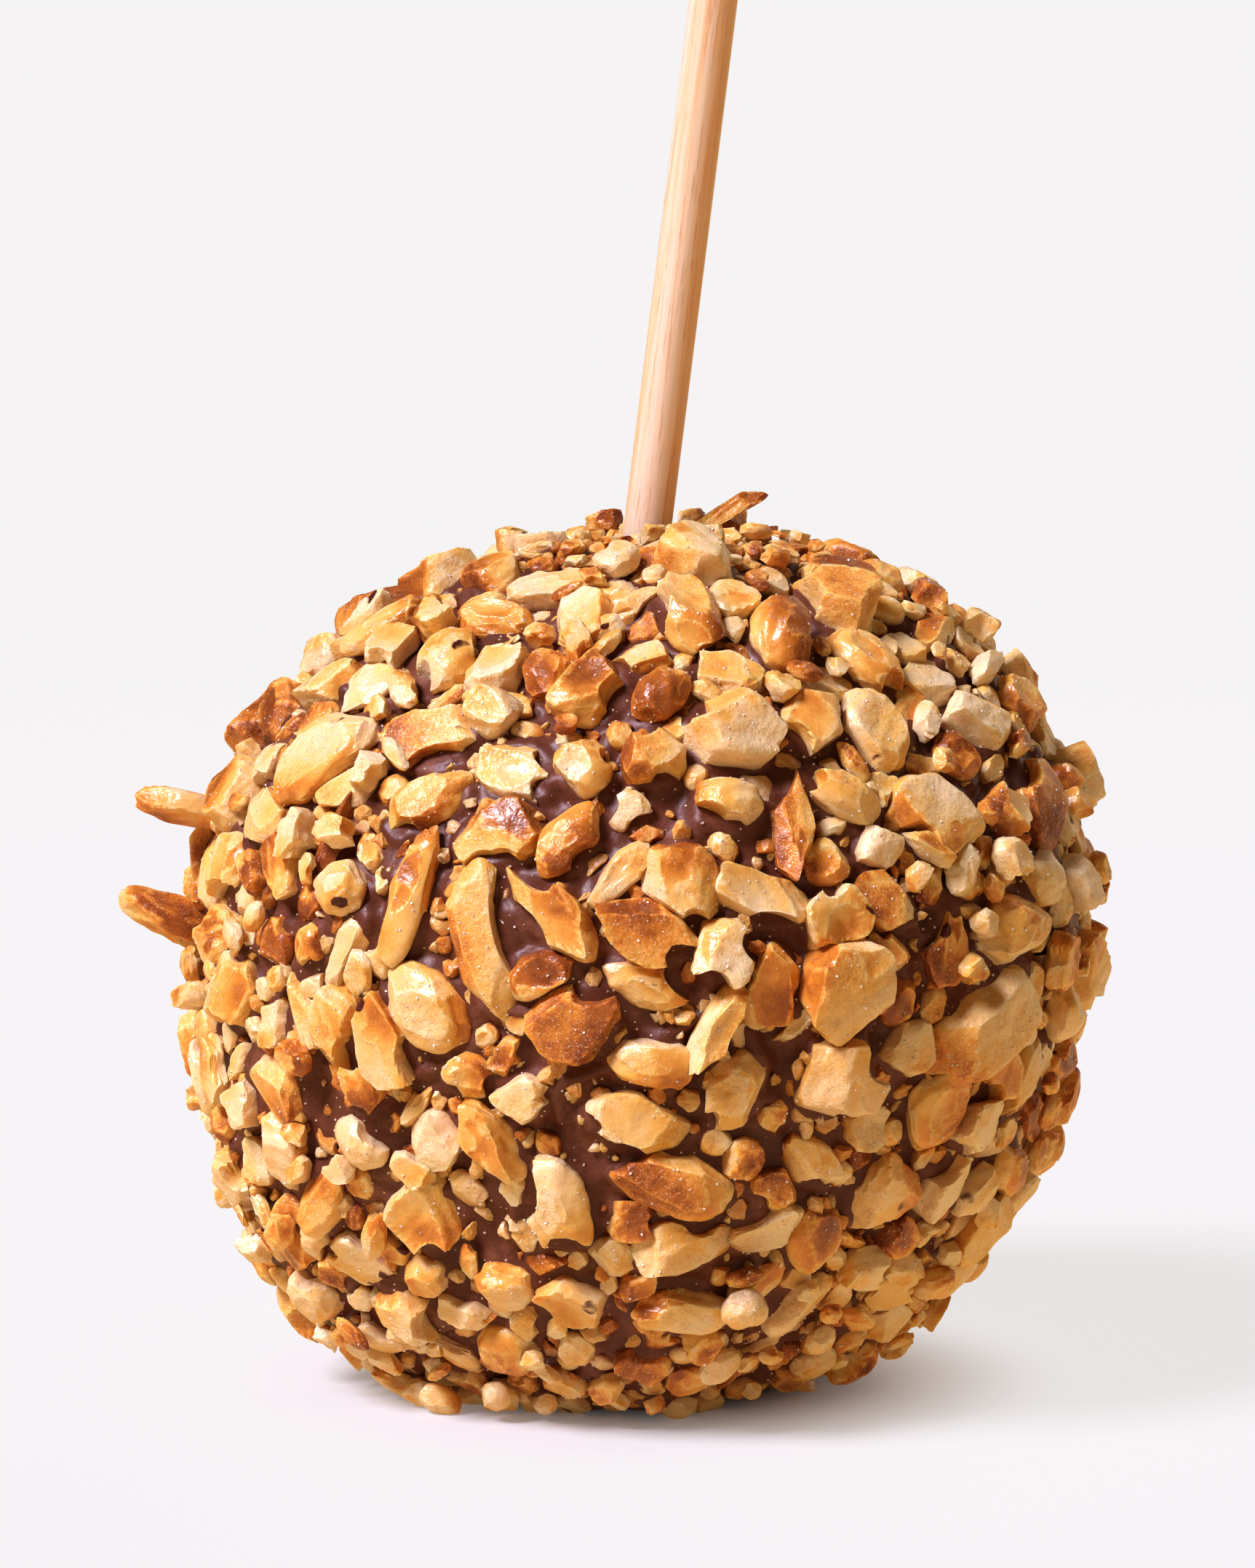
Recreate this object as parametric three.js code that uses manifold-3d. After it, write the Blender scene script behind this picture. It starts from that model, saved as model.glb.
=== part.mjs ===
// A candy apple on a stick: an apple dipped in chocolate and rolled in chopped peanuts while it is still
// soft. Millimetres, +Z up. The origin is on the small flat foot that it stands on, under the waist.
//
// There are two solids. "coated_apple" is the coat with the larger peanut pieces stuck to it, and "stick"
// is the round wooden stick, which goes down into the apple in a hole of its own.

import * as THREE from "three";
import { mergeVertices } from "three/addons/utils/BufferGeometryUtils.js";
import Module from "manifold-3d";

// ---- The coated apple without its nuts ----
const COAT_RADIUS = 42.6; // at the waist, its widest level
const WAIST = new THREE.Vector3(0.8, 0, 48.8); // the middle of the waist
const CROWN_RISE = 35.4; // from the waist up to the crown, before the hollow round the stick
const ROOT_DROP = 51.6; // from the waist down to where the bottom would close; the foot cuts it flat
const CROWN_POWER = 1.75; // 2 is an ellipse, and less is more pointed
const ROOT_POWER = 2.15;
const LEAN = THREE.MathUtils.degToRad(2.6); // the apple leans to +X over its foot
const LOPSIDED = 0.07; // how much higher its +X shoulder is than the other one, as a share
const HOLLOW_DEPTH = 2.2; // of the dip round the stick
const HOLLOW_SPREAD = 0.3; // radians from the apple's axis
const LOBES = 5;
const LOBE_HEIGHT = 1; // of the apple's lobes, which show over and under the waist
const SWELL_HEIGHT = 0.5; // slow unevenness of the coat
const COAT_DETAIL = 6;

// ---- The stick ----
const STICK_RADIUS = 4.76 / 2; // a 3/16 inch stick
const STICK_LENGTH = 140;
const STICK_INSERTED = 48; // how much of it is inside the apple
const STICK_LEAN = THREE.MathUtils.degToRad(7.1); // to +X
const STICK_NOD = THREE.MathUtils.degToRad(3); // to -Y
const STICK_ENTRY = new THREE.Vector3(0.9, 0, 83); // where its axis meets the crown
const STICK_SIDES = 32;
const STICK_CHAMFER = 0.4;
const CLEARANCE = 0.3; // between the stick and what is round it

// ---- The chopped peanuts ----
const NUTS_MADE = 335; // the largest pieces, which are part of the solid
const LARGEST_NUT = 11.2; // length of the largest scattered piece
const SHRINK_RANK = 280; // how soon the pieces get smaller, by rank
const SHRINK_POWER = 0.8;
const FOOT_SIZE = 0.8; // size of the pieces at the foot, as a share of those round the waist
const CROWN_SIZE = 0.68; // and of the pieces round the stick
const TRIES = 24; // places tried for each piece, of which the roomiest is taken
const LEAST_ROOM = 0.62; // share of its own reach that a piece needs towards each neighbour
const SNUG = 0.93; // how close pieces lie: their reach, as a share of their half sizes
const NUT_GAP = 0.18; // between a piece and the neighbour that cuts it short
const SEAT_DEPTH = 0.58; // how high a piece's middle is over the coat, in half thicknesses
const STACK_LIFT = 2.1; // how much higher a piece lies that found no room on the coat
const LEAST_HEIGHT = 0.9; // no piece's middle is lower over the table than this
const CORNER_ELEVATION = 0.62; // radians over level, from a piece's middle to the corners of its top
const ROOT_DEPTH = 24; // how deep in the coat a piece's sides meet
const FIRST_SEED = 11;

// Kinds of piece: the share of all, and width and thickness as shares of the length and of the width.
const KINDS = [
  { name: "chunk", share: 0.56, width: 0.82, thickness: 0.74, longer: 1 },
  { name: "slab", share: 0.3, width: 0.68, thickness: 0.5, longer: 1.15 },
  { name: "finger", share: 0.14, width: 0.42, thickness: 0.85, longer: 1.3 },
];

// The pieces that catch the eye, as they lie. The angles are degrees: across from -Y towards +X, up from
// the waist, and turn, which is the long side's angle from level. Then length, width and thickness, how
// much higher than usual the piece sits, and how far its long side is tipped up.
const MARKED_NUTS = [
  { across: -30, up: 4.5, turn: 76, size: [13.6, 4.6, 3], lift: 0.2 },
  { across: -19.5, up: -1, turn: 101, size: [14.2, 6, 3.2], lift: 0.4 },
  { across: -27, up: -9, turn: 142, size: [11.2, 6.8, 4], lift: 0.3 },
  { across: -11.5, up: 3, turn: 135, size: [10.4, 5, 3.8], lift: 0 },
  { across: 0, up: 1, turn: 150, size: [10.6, 5.4, 4.4], lift: 0.3 },
  { across: 9, up: -1.5, turn: 5, size: [7, 5.8, 5], lift: 0.8 },
  { across: 0, up: -5, turn: 155, size: [9.2, 4.8, 3], lift: 0.2 },
  { across: -9, up: -10, turn: 15, size: [9, 7, 4], lift: 0.2 },
  { across: -12.5, up: -4.5, turn: 15, size: [7, 5, 4], lift: 0 },
  { across: 1, up: -15, turn: 170, size: [8.6, 5.6, 4.4], lift: 0 },
  { across: 8.5, up: -10.5, turn: 58, size: [9.4, 3.6, 3.2], lift: 1.8 },
  { across: 10.5, up: -18.5, turn: 60, size: [7.6, 5.4, 3.4], lift: 0 },
  { across: -1, up: -22, turn: 172, size: [9.6, 5.6, 3.8], lift: 0.3 },
  { across: 24.5, up: -6.5, turn: 80, size: [9.4, 8.6, 6], lift: 0.8 },
  { across: 14.5, up: -6, turn: 110, size: [8.6, 6.8, 3.6], lift: 0 },
  { across: 24, up: -17, turn: 80, size: [8.8, 8, 5.4], lift: 0.5 },
  { across: 48, up: -12, turn: 30, size: [15, 8, 5.4], lift: 0.6 },
  { across: -53, up: 21, turn: 40, size: [14, 9, 4], lift: 0.5 },
  { across: 3, up: -29, turn: 158, size: [12.4, 6.4, 4.6], lift: 0.4 },
  { across: -19, up: 12, turn: 10, size: [9, 6, 4], lift: 0 },
  { across: 36, up: -34, turn: 85, size: [8.4, 8, 4], lift: 0.3 },
  { across: 8, up: 46, turn: 105, size: [12, 6.4, 5], lift: 0.8 },
  { across: 25.5, up: 42, turn: 60, size: [9.4, 6.8, 5.4], lift: 0.6 },
  { across: -33, up: -13, turn: 115, size: [9.2, 7, 3.6], lift: 0.2 },
  { across: -84, up: -3.5, turn: 90, size: [4.8, 5.6, 11], lift: 1.3, tip: 18 },
  { across: -84, up: 9.5, turn: 90, size: [4.2, 5, 11], lift: 1.4, tip: -9 },
  { across: -62, up: 43, turn: 60, size: [10, 4.2, 3.4], lift: 1 },
  { across: 100, up: 77, turn: 2, size: [8.8, 2.4, 1.8], lift: 3.3, tip: 30 },
  { across: 80, up: -26, turn: 70, size: [9, 5, 3.4], lift: 1.4 },
  { across: -10, up: 11.5, turn: 50, size: [8.3, 4.8, 3.6], lift: 0.2 },
  { across: -30, up: 16, turn: 40, size: [9.6, 5.6, 3.6], lift: 0.2 },
  { across: -39.5, up: 4.5, turn: 20, size: [6.2, 5.6, 4.4], lift: 0.6 },
  { across: -18, up: 21, turn: 160, size: [8.4, 5.8, 3.2], lift: 0 },
  { across: -8.5, up: 21, turn: 110, size: [6, 5.4, 4.4], lift: 0.3 },
  { across: 1, up: 22, turn: 80, size: [5.6, 5.4, 4.6], lift: 0.6 },
  { across: 10.5, up: 16, turn: 160, size: [6.8, 5.6, 4.6], lift: 0.6 },
  { across: 26, up: 17, turn: 140, size: [9.4, 4.4, 4.2], lift: 0.6 },
  { across: 4, up: 6.5, turn: 105, size: [8.2, 6.6, 4], lift: 0.3 },
  { across: 13.5, up: 5, turn: 160, size: [9.4, 5.4, 3.8], lift: 0.2 },
  { across: 23, up: 2, turn: 60, size: [6.2, 5.8, 4.4], lift: 0 },
  { across: -8.5, up: 33, turn: 70, size: [8.2, 7, 5], lift: 0.4 },
  { across: 2.5, up: 31.5, turn: 50, size: [7.8, 4.6, 4.2], lift: 0.6 },
  { across: 13, up: 35, turn: 150, size: [7, 4.8, 3], lift: 0.4 },
  { across: -58, up: 12.5, turn: 25, size: [9.4, 7, 4], lift: 0.2 },
  { across: -32, up: -35.5, turn: 60, size: [9.4, 7.4, 4.2], lift: 0.2 },
  { across: -21.5, up: -43.5, turn: 0, size: [6.4, 5.8, 4.4], lift: 0.2 },
  { across: 5.5, up: -46, turn: 175, size: [9.8, 5.2, 3.6], lift: 0.3 },
  { across: -20, up: -25, turn: 120, size: [8.2, 5.6, 4], lift: 0.2 },
  { across: -11.5, up: -32, turn: 100, size: [10, 6.8, 4.2], lift: 0.2 },
  { across: 41.5, up: -22.5, turn: 80, size: [10, 8, 4], lift: 0.2 },
  { across: -40.5, up: -12, turn: 100, size: [8.6, 6.4, 4], lift: 0.2 },
  { across: 51, up: -1, turn: 20, size: [9.4, 6, 4], lift: 0.3 },
  { across: -27, up: 38, turn: 60, size: [7.4, 5.4, 4], lift: 0.3 },
  { across: -28, up: 57, turn: 0, size: [10.4, 5.4, 3.4], lift: 0.4 },
  { across: 42, up: 37, turn: 100, size: [9.2, 6.2, 4.6], lift: 0.4 },
  { across: -67.5, up: 5, turn: 30, size: [8.4, 7, 4], lift: 0.2 },
  { across: -38.5, up: 49, turn: 175, size: [9, 4.6, 3.2], lift: 0.4 },
];

// Where the coat stays bare: across and up in degrees, and the radius in mm.
const BARE_PATCHES = [
  { across: -29, up: -3, radius: 3.4 },
  { across: -22, up: -3.5, radius: 3 },
  { across: -15, up: 0.5, radius: 2.6 },
  { across: -8, up: -4.5, radius: 4 },
  { across: 2, up: -10, radius: 4.2 },
  { across: -6, up: -15.5, radius: 3.4 },
  { across: -10, up: -20, radius: 2.6 },
  { across: -27, up: -16.5, radius: 3.4 },
  { across: 14.5, up: -15, radius: 3 },
  { across: -6.5, up: -26, radius: 3 },
  { across: -21, up: -36, radius: 2.6 },
  { across: 3, up: 15, radius: 2.6 },
  { across: -13, up: 17, radius: 2.6 },
  { across: -25, up: 22, radius: 2.6 },
  { across: -46, up: -21, radius: 3 },
  { across: -4, up: -50, radius: 3 },
];

// ---- Small helpers ----
const xyz = (x, y, z) => new THREE.Vector3(x, y, z);

// A stream of even random numbers from 0 to 1. Each piece has a stream of its own.
function numbers(seed) {
  let state = Math.imul(seed + 1, 2654435761) >>> 0;
  const draw = () => {
    state = (Math.imul(state, 1664525) + 1013904223) >>> 0;
    return state / 4294967296;
  };
  for (let i = 0; i < 3; i++) draw();
  return draw;
}

// ---- The coat's surface ----
// How far the coat is from the waist's middle, in a direction.
function coatRadius(direction) {
  const d = direction.clone().applyAxisAngle(xyz(0, 1, 0), -LEAN);
  const out = Math.hypot(d.x, d.y);
  const angle = Math.atan2(out, d.z);
  const [power, reach] = d.z >= 0 ? [CROWN_POWER, CROWN_RISE] : [ROOT_POWER, ROOT_DROP];
  const whole = (out / COAT_RADIUS) ** power + (Math.abs(d.z) / reach) ** power;
  let radius = whole ** (-1 / power);
  radius -= HOLLOW_DEPTH * Math.exp(-((angle / HOLLOW_SPREAD) ** 2));
  radius += LOBE_HEIGHT * Math.cos(LOBES * Math.atan2(d.y, d.x) + 1) * (out * d.z) ** 2 * 4;
  radius += SWELL_HEIGHT * Math.sin(3.1 * d.x + 0.9) * Math.sin(2.7 * d.y + 2.1) * Math.cos(2.3 * d.z - 0.4);
  radius *= 1 + LOPSIDED * direction.x * direction.z;
  return direction.z < 0 ? Math.min(radius, WAIST.z / -direction.z) : radius;
}

const coatPoint = (direction) => direction.clone().multiplyScalar(coatRadius(direction)).add(WAIST);

// The direction that is square to the coat there.
function coatNormal(direction) {
  const step = 0.02;
  const side = xyz(-direction.y, direction.x, 0);
  if (side.length() < 1e-6) side.set(1, 0, 0);
  side.normalize();
  const over = direction.clone().cross(side);
  const at = (axis, s) => coatPoint(direction.clone().addScaledVector(axis, s).normalize());
  const across = at(side, step).sub(at(side, -step));
  const along = at(over, step).sub(at(over, -step));
  return across.cross(along).normalize();
}

// ---- The stick's line ----
const stickUp = xyz(Math.tan(STICK_LEAN), -Math.tan(STICK_NOD), 1).normalize();
const stickEnd = STICK_ENTRY.clone().addScaledVector(stickUp, -STICK_INSERTED);

// ---- Where the peanut pieces lie ----
// A piece is a middle, three directions (long, wide, out), three half sizes, and the flat cuts of its
// outline. A cut is a direction and a distance in the piece's own directions, each counted in half sizes.

// How far a piece reaches from its middle in a direction.
function reachOf(nut, direction) {
  const parts = nut.axes.map((axis, i) => axis.dot(direction) / nut.half[i]);
  return SNUG / Math.hypot(...parts);
}

// A piece's three directions: its long side turned from level by turn, tipped over both sides a little.
function axesAt(normal, turn, tips) {
  const level = xyz(-normal.y, normal.x, 0);
  if (level.length() < 1e-6) level.set(1, 0, 0);
  level.normalize();
  const rise = normal.clone().cross(level);
  const long = level.multiplyScalar(Math.cos(turn)).addScaledVector(rise, Math.sin(turn));
  const out = normal.clone();
  out.applyAxisAngle(long, tips[0]);
  const wide = out.clone().cross(long).normalize();
  long.applyAxisAngle(wide, tips[1]);
  out.applyAxisAngle(wide, tips[1]);
  return [long, wide, out];
}

// A piece with its middle over a place on the coat.
function nutAt(direction, turn, tips, half, lift) {
  const axes = axesAt(coatNormal(direction), turn, tips);
  const height = SEAT_DEPTH * half[2] + lift;
  const middle = coatPoint(direction).addScaledVector(coatNormal(direction), height);
  return { middle, axes, half, height, cuts: [] };
}

// The stick as a neighbour: the way from a piece's middle to it, and the room before it.
function towardsStick(nut) {
  const along = nut.middle.clone().sub(STICK_ENTRY).dot(stickUp);
  const way = STICK_ENTRY.clone().addScaledVector(stickUp, along).sub(nut.middle);
  const room = way.length() - STICK_RADIUS - CLEARANCE;
  return { way: way.normalize(), room };
}

// Each neighbour that a piece is too close to: the way there, and the room before it.
function neighbours(nut, earlier) {
  const near = [towardsStick(nut)];
  for (const other of earlier) {
    const way = other.middle.clone().sub(nut.middle);
    const distance = way.length();
    if (distance > other.half[0] + nut.half[0]) continue;
    way.normalize();
    near.push({ way, room: distance - reachOf(other, way) });
  }
  return near.filter((n) => n.room < reachOf(nut, n.way));
}

// The least room of a piece, as a share of its own reach.
const roomOf = (nut, near) => Math.min(1, ...near.map((n) => n.room / reachOf(nut, n.way)));

// The cut across a way, at a distance from the piece's middle.
function cutAcross(nut, way, distance) {
  return { normal: nut.axes.map((axis, i) => axis.dot(way) * nut.half[i]), distance };
}

// The cuts that the chopping made: some sides, and the top.
function chopped(nut, draw) {
  const sides = 4 + Math.floor(2.4 * draw());
  const first = 2 * Math.PI * draw();
  nut.corners = [];
  for (let i = 0; i < sides; i++) {
    const round = first + (2 * Math.PI * (i + 0.7 * (draw() - 0.5))) / sides;
    const slope = 0.7 * (draw() - 0.35);
    const flat = Math.cos(slope);
    const normal = [flat * Math.cos(round), flat * Math.sin(round), Math.sin(slope)];
    nut.cuts.push({ normal, distance: 0.74 + 0.28 * draw() });
    nut.corners.push(round + Math.PI / sides);
  }
  const top = [0.7 * (draw() - 0.5), 0.7 * (draw() - 0.5), 1];
  nut.cuts.push({ normal: top, distance: 0.74 + 0.28 * draw() });
  nut.top = top;
}

// Cuts a piece short where it would run into what was there before it, or into the table.
function fitted(nut, near) {
  for (const { way, room } of near) {
    const least = 0.3 * reachOf(nut, way);
    nut.cuts.push(cutAcross(nut, way, Math.max(room - NUT_GAP, least)));
  }
  nut.cuts.push(cutAcross(nut, xyz(0, 0, -1), nut.middle.z));
}

// The direction at an angle across from the front and an angle up.
function towards(across, up) {
  const [a, e] = [across, up].map(THREE.MathUtils.degToRad);
  return xyz(Math.sin(a) * Math.cos(e), -Math.cos(a) * Math.cos(e), Math.sin(e));
}

const bare = BARE_PATCHES.map(({ across, up, radius }) => ({
  middle: towards(across, up),
  radius: radius / COAT_RADIUS,
}));

function markedNut({ across, up, turn, size, lift, tip = 0 }, seed) {
  const [t, over] = [turn, tip].map(THREE.MathUtils.degToRad);
  const nut = nutAt(towards(across, up), t, [0, over], size.map((s) => s / 2), lift);
  return { nut, draw: numbers(seed) };
}

// How large the pieces are at a height, as a share: they get smaller near the foot and near the crown.
function sizeShare(z) {
  const foot = (1 - FOOT_SIZE) * THREE.MathUtils.smoothstep(-z, 0.6, 0.95);
  const crown = (1 - CROWN_SIZE) * THREE.MathUtils.smoothstep(z, 0.8, 0.95);
  return 1 - foot - crown;
}

// The half sizes of the piece of a rank, by its kind.
function halfSizes(rank, draw) {
  let pick = draw();
  const kind = KINDS.find((k) => (pick -= k.share) < 0) ?? KINDS[0];
  const length = LARGEST_NUT * kind.longer * (1 + rank / SHRINK_RANK) ** -SHRINK_POWER;
  const width = length * kind.width * (0.85 + 0.3 * draw());
  const thickness = width * kind.thickness * (0.85 + 0.3 * draw());
  return [length / 2, width / 2, thickness / 2];
}

// The roomiest of some random places for a piece. With too little room it lies on top of others.
function scatteredNut(rank, earlier) {
  const draw = numbers(FIRST_SEED + rank);
  const most = halfSizes(rank, draw);
  const tips = [0.5 * (draw() - 0.5), 0.5 * (draw() - 0.5)];
  let best = null;
  for (let i = 0; i < TRIES; i++) {
    const z = 2 * draw() - 1;
    const round = 2 * Math.PI * draw();
    const turn = Math.PI * draw();
    const flat = Math.sqrt(1 - z * z);
    const direction = xyz(flat * Math.cos(round), flat * Math.sin(round), z);
    if (bare.some(({ middle, radius }) => direction.distanceTo(middle) < radius)) continue;
    const half = most.map((size) => size * sizeShare(z));
    const nut = nutAt(direction, turn, tips, half, 0);
    if (nut.middle.z < LEAST_HEIGHT) continue;
    const room = roomOf(nut, neighbours(nut, earlier));
    if (!best || room > best.room) best = { room, direction, turn, nut };
  }
  if (best.room < LEAST_ROOM) best.nut = nutAt(best.direction, best.turn, tips, best.nut.half, STACK_LIFT);
  return { nut: best.nut, draw, onTop: best.room < LEAST_ROOM };
}

function layNuts() {
  const laid = [];
  for (let i = 0; i < NUTS_MADE; i++) {
    const marked = i < MARKED_NUTS.length;
    const { nut, draw, onTop } = marked ? markedNut(MARKED_NUTS[i], i) : scatteredNut(i, laid);
    chopped(nut, draw);
    fitted(nut, onTop ? [] : neighbours(nut, laid));
    laid.push(nut);
  }
  return laid;
}

// ---- Solids ----
const wasm = await Module();
wasm.setup();

function solidOf(vertices, triangles) {
  const mesh = new wasm.Mesh({
    numProp: 3,
    vertProperties: new Float32Array(vertices),
    triVerts: new Uint32Array(triangles),
  });
  return new wasm.Manifold(mesh);
}

function solidOfGeometry(geometry) {
  const bare = new THREE.BufferGeometry().setAttribute("position", geometry.getAttribute("position"));
  bare.setIndex(geometry.getIndex());
  const merged = mergeVertices(bare, 1e-4);
  return solidOf(merged.attributes.position.array, merged.index.array);
}

function meshOf(solid, name, material) {
  const mesh = solid.getMesh();
  const geometry = new THREE.BufferGeometry();
  geometry.setAttribute("position", new THREE.BufferAttribute(mesh.vertProperties, 3));
  geometry.setIndex(new THREE.BufferAttribute(mesh.triVerts, 1));
  geometry.computeVertexNormals();
  const made = new THREE.Mesh(geometry, material);
  made.name = name;
  return made;
}

// The coat: a fine round net, each corner moved out to the coat's surface.
function coatSolid() {
  const net = new THREE.IcosahedronGeometry(1, COAT_DETAIL);
  const corners = net.getAttribute("position");
  for (let i = 0; i < corners.count; i++) {
    const direction = new THREE.Vector3().fromBufferAttribute(corners, i).normalize();
    corners.setXYZ(i, ...coatPoint(direction));
  }
  return solidOfGeometry(net);
}

// Where a piece's outline is, from its middle, in a direction counted in half sizes.
function outlinePoint(nut, direction) {
  const [x, y, z] = direction;
  const toCut = ({ normal, distance }) => (normal[0] * x + normal[1] * y + normal[2] * z) / distance;
  const limits = [Math.hypot(x, y), Math.abs(z), ...nut.cuts.map(toCut)];
  const reach = 1 / Math.max(...limits);
  const point = nut.middle.clone();
  nut.axes.forEach((axis, i) => point.addScaledVector(axis, direction[i] * nut.half[i] * reach));
  return point;
}

// A piece of peanut: the corners round its top, a point on the top, and a point in the coat where its
// sides meet.
function nutSolid(nut) {
  const [flat, rise] = [Math.cos(CORNER_ELEVATION), Math.sin(CORNER_ELEVATION)];
  const corners = nut.corners.map((round) => [flat * Math.cos(round), flat * Math.sin(round), rise]);
  const root = nut.middle.clone().addScaledVector(nut.axes[2], -nut.height - ROOT_DEPTH);
  const points = [root, ...corners.map((c) => outlinePoint(nut, c)), outlinePoint(nut, nut.top)];
  const last = points.length - 1;
  const triangles = corners.flatMap((_, i) => {
    const next = ((i + 1) % corners.length) + 1;
    return [0, next, i + 1, i + 1, next, last];
  });
  return solidOf(points.flatMap((p) => p.toArray()), triangles);
}

// A rod along the stick's line, from a distance over the stick's lower end.
function rod(radius, from, length, chamfer) {
  const profile = [
    new THREE.Vector2(0, 0),
    new THREE.Vector2(radius - chamfer, 0),
    new THREE.Vector2(radius, chamfer),
    new THREE.Vector2(radius, length - chamfer),
    new THREE.Vector2(radius - chamfer, length),
    new THREE.Vector2(0, length),
  ];
  const turned = new THREE.LatheGeometry(profile, STICK_SIDES);
  const upright = new THREE.Quaternion().setFromUnitVectors(xyz(0, 1, 0), stickUp);
  turned.applyQuaternion(upright);
  turned.translate(...stickEnd.clone().addScaledVector(stickUp, from));
  return turned;
}

const wood = new THREE.MeshStandardMaterial({ color: 0xe6c394, roughness: 0.7, metalness: 0 });
const nutCoat = new THREE.MeshStandardMaterial({ color: 0xd39a56, roughness: 0.55, metalness: 0 });

function coatedApple() {
  const joined = layNuts().map(nutSolid).reduce((whole, nut) => whole.add(nut), coatSolid());
  const hole = rod(STICK_RADIUS + CLEARANCE, -CLEARANCE, STICK_INSERTED + 20, STICK_CHAMFER);
  return meshOf(joined.subtract(solidOfGeometry(hole)), "coated_apple", nutCoat);
}

function stick() {
  const mesh = new THREE.Mesh(rod(STICK_RADIUS, 0, STICK_LENGTH, STICK_CHAMFER), wood);
  mesh.name = "stick";
  return mesh;
}

const candyApple = new THREE.Group();
candyApple.add(coatedApple(), stick());

export default candyApple;
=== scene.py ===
# %% [markdown]
# # A candy apple in chocolate and chopped peanuts
#
# A candy apple is an apple on a stick, dipped in melted chocolate and rolled in chopped peanuts before the
# chocolate sets. This lesson dresses a plain solid model of one. The solid gives the place and the size of
# everything, and the dressed model must not outgrow it, so the first step is to load it.

# %% Load the solid model
import math
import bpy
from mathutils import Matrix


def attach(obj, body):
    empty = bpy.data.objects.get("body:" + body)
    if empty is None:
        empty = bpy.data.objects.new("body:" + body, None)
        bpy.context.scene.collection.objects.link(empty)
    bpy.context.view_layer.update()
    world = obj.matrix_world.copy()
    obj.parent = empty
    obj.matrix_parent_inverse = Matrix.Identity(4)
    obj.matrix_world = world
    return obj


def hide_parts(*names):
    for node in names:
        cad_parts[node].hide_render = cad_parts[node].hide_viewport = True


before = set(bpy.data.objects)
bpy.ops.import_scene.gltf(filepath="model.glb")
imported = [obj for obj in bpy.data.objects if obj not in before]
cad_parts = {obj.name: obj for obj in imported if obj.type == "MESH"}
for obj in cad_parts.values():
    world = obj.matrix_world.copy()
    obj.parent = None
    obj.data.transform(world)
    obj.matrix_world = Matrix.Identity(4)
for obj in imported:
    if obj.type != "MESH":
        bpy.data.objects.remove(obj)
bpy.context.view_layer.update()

import bpy
import numpy as np
from mathutils import Vector, noise

# %% [markdown]
# ## The shape under the nuts
#
# An apple isn't a ball: it is widest above its middle, it narrows to a small foot, and a shallow hollow
# goes round the stick. A sculpted mesh could hold that shape. A rule is better here, because the peanut
# pieces have to know where the coat is and which way it faces at any place. The rule gives the distance
# from the middle of the waist to the coat in any direction. It is worked out for many directions at once,
# as one array, which is many times faster in Python than a loop. All lengths are millimetres until a mesh
# is made.

# %% The coat's surface as a rule
COAT_RADIUS = 42.6
WAIST = np.array([0.8, 0.0, 48.8])
CROWN_RISE = 35.4  # from the waist
ROOT_DROP = 51.6
CROWN_POWER = 1.75  # 2 would be round, and less slopes more
ROOT_POWER = 2.15
LEAN = math.radians(2.6)
LOPSIDED = 0.07  # how much more crown there is on one side
HOLLOW_DEPTH = 2.2
HOLLOW_SPREAD = 0.3
LOBES = 5
LOBE_HEIGHT = 4.0
LOBE_TURN = 1.0  # radians
SWELL_HEIGHT = 0.5
SWELL_WAVES = (3.1, 2.7, 2.3)  # how fast the swells come and go across, back and up
SWELL_STARTS = (0.9, 2.1, -0.4)


def coat_radius(directions):
    """How far the coat is from the waist's middle, in each direction."""
    x, y, z = directions.T
    side = x * math.cos(LEAN) - z * math.sin(LEAN)
    up = x * math.sin(LEAN) + z * math.cos(LEAN)
    out = np.hypot(side, y)
    power = np.where(up >= 0, CROWN_POWER, ROOT_POWER)
    reach = np.where(up >= 0, CROWN_RISE, ROOT_DROP)
    radius = ((out / COAT_RADIUS) ** power + (abs(up) / reach) ** power) ** (-1 / power)
    radius -= HOLLOW_DEPTH * np.exp(-((np.arctan2(out, up) / HOLLOW_SPREAD) ** 2))
    radius += LOBE_HEIGHT * np.cos(LOBES * np.arctan2(y, side) + LOBE_TURN) * (out * up) ** 2
    swells = [fast * way + start for fast, way, start in zip(SWELL_WAVES, (side, y, up), SWELL_STARTS)]
    radius += SWELL_HEIGHT * np.sin(swells[0]) * np.sin(swells[1]) * np.cos(swells[2])
    radius *= 1 + LOPSIDED * x * z
    foot = WAIST[2] / np.maximum(-z, 1e-9)
    return np.where(z < 0, np.minimum(radius, foot), radius)


foot_and_crown = coat_radius(np.array([(0, 0, -1.0), (0, 0, 1.0)]))
print("straight down and straight up from the waist, the coat is", np.round(foot_and_crown, 1), "mm away")

# %% [markdown]
# Two more facts come from the rule. One is the point of the coat in a direction. The other is the way that
# the coat faces there: the rule is asked a small step to both sides and a small step up and down, and what
# is square to both of those lines points out.

# %% Points of the coat, and which way it faces
NORMAL_STEP = 0.02  # radians


def unit(vectors):
    """Vectors at length 1."""
    return vectors / np.linalg.norm(vectors, axis=-1, keepdims=True)


def coat_point(directions):
    """Where the coat is, in each direction."""
    return directions * coat_radius(directions)[:, None] + WAIST


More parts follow.
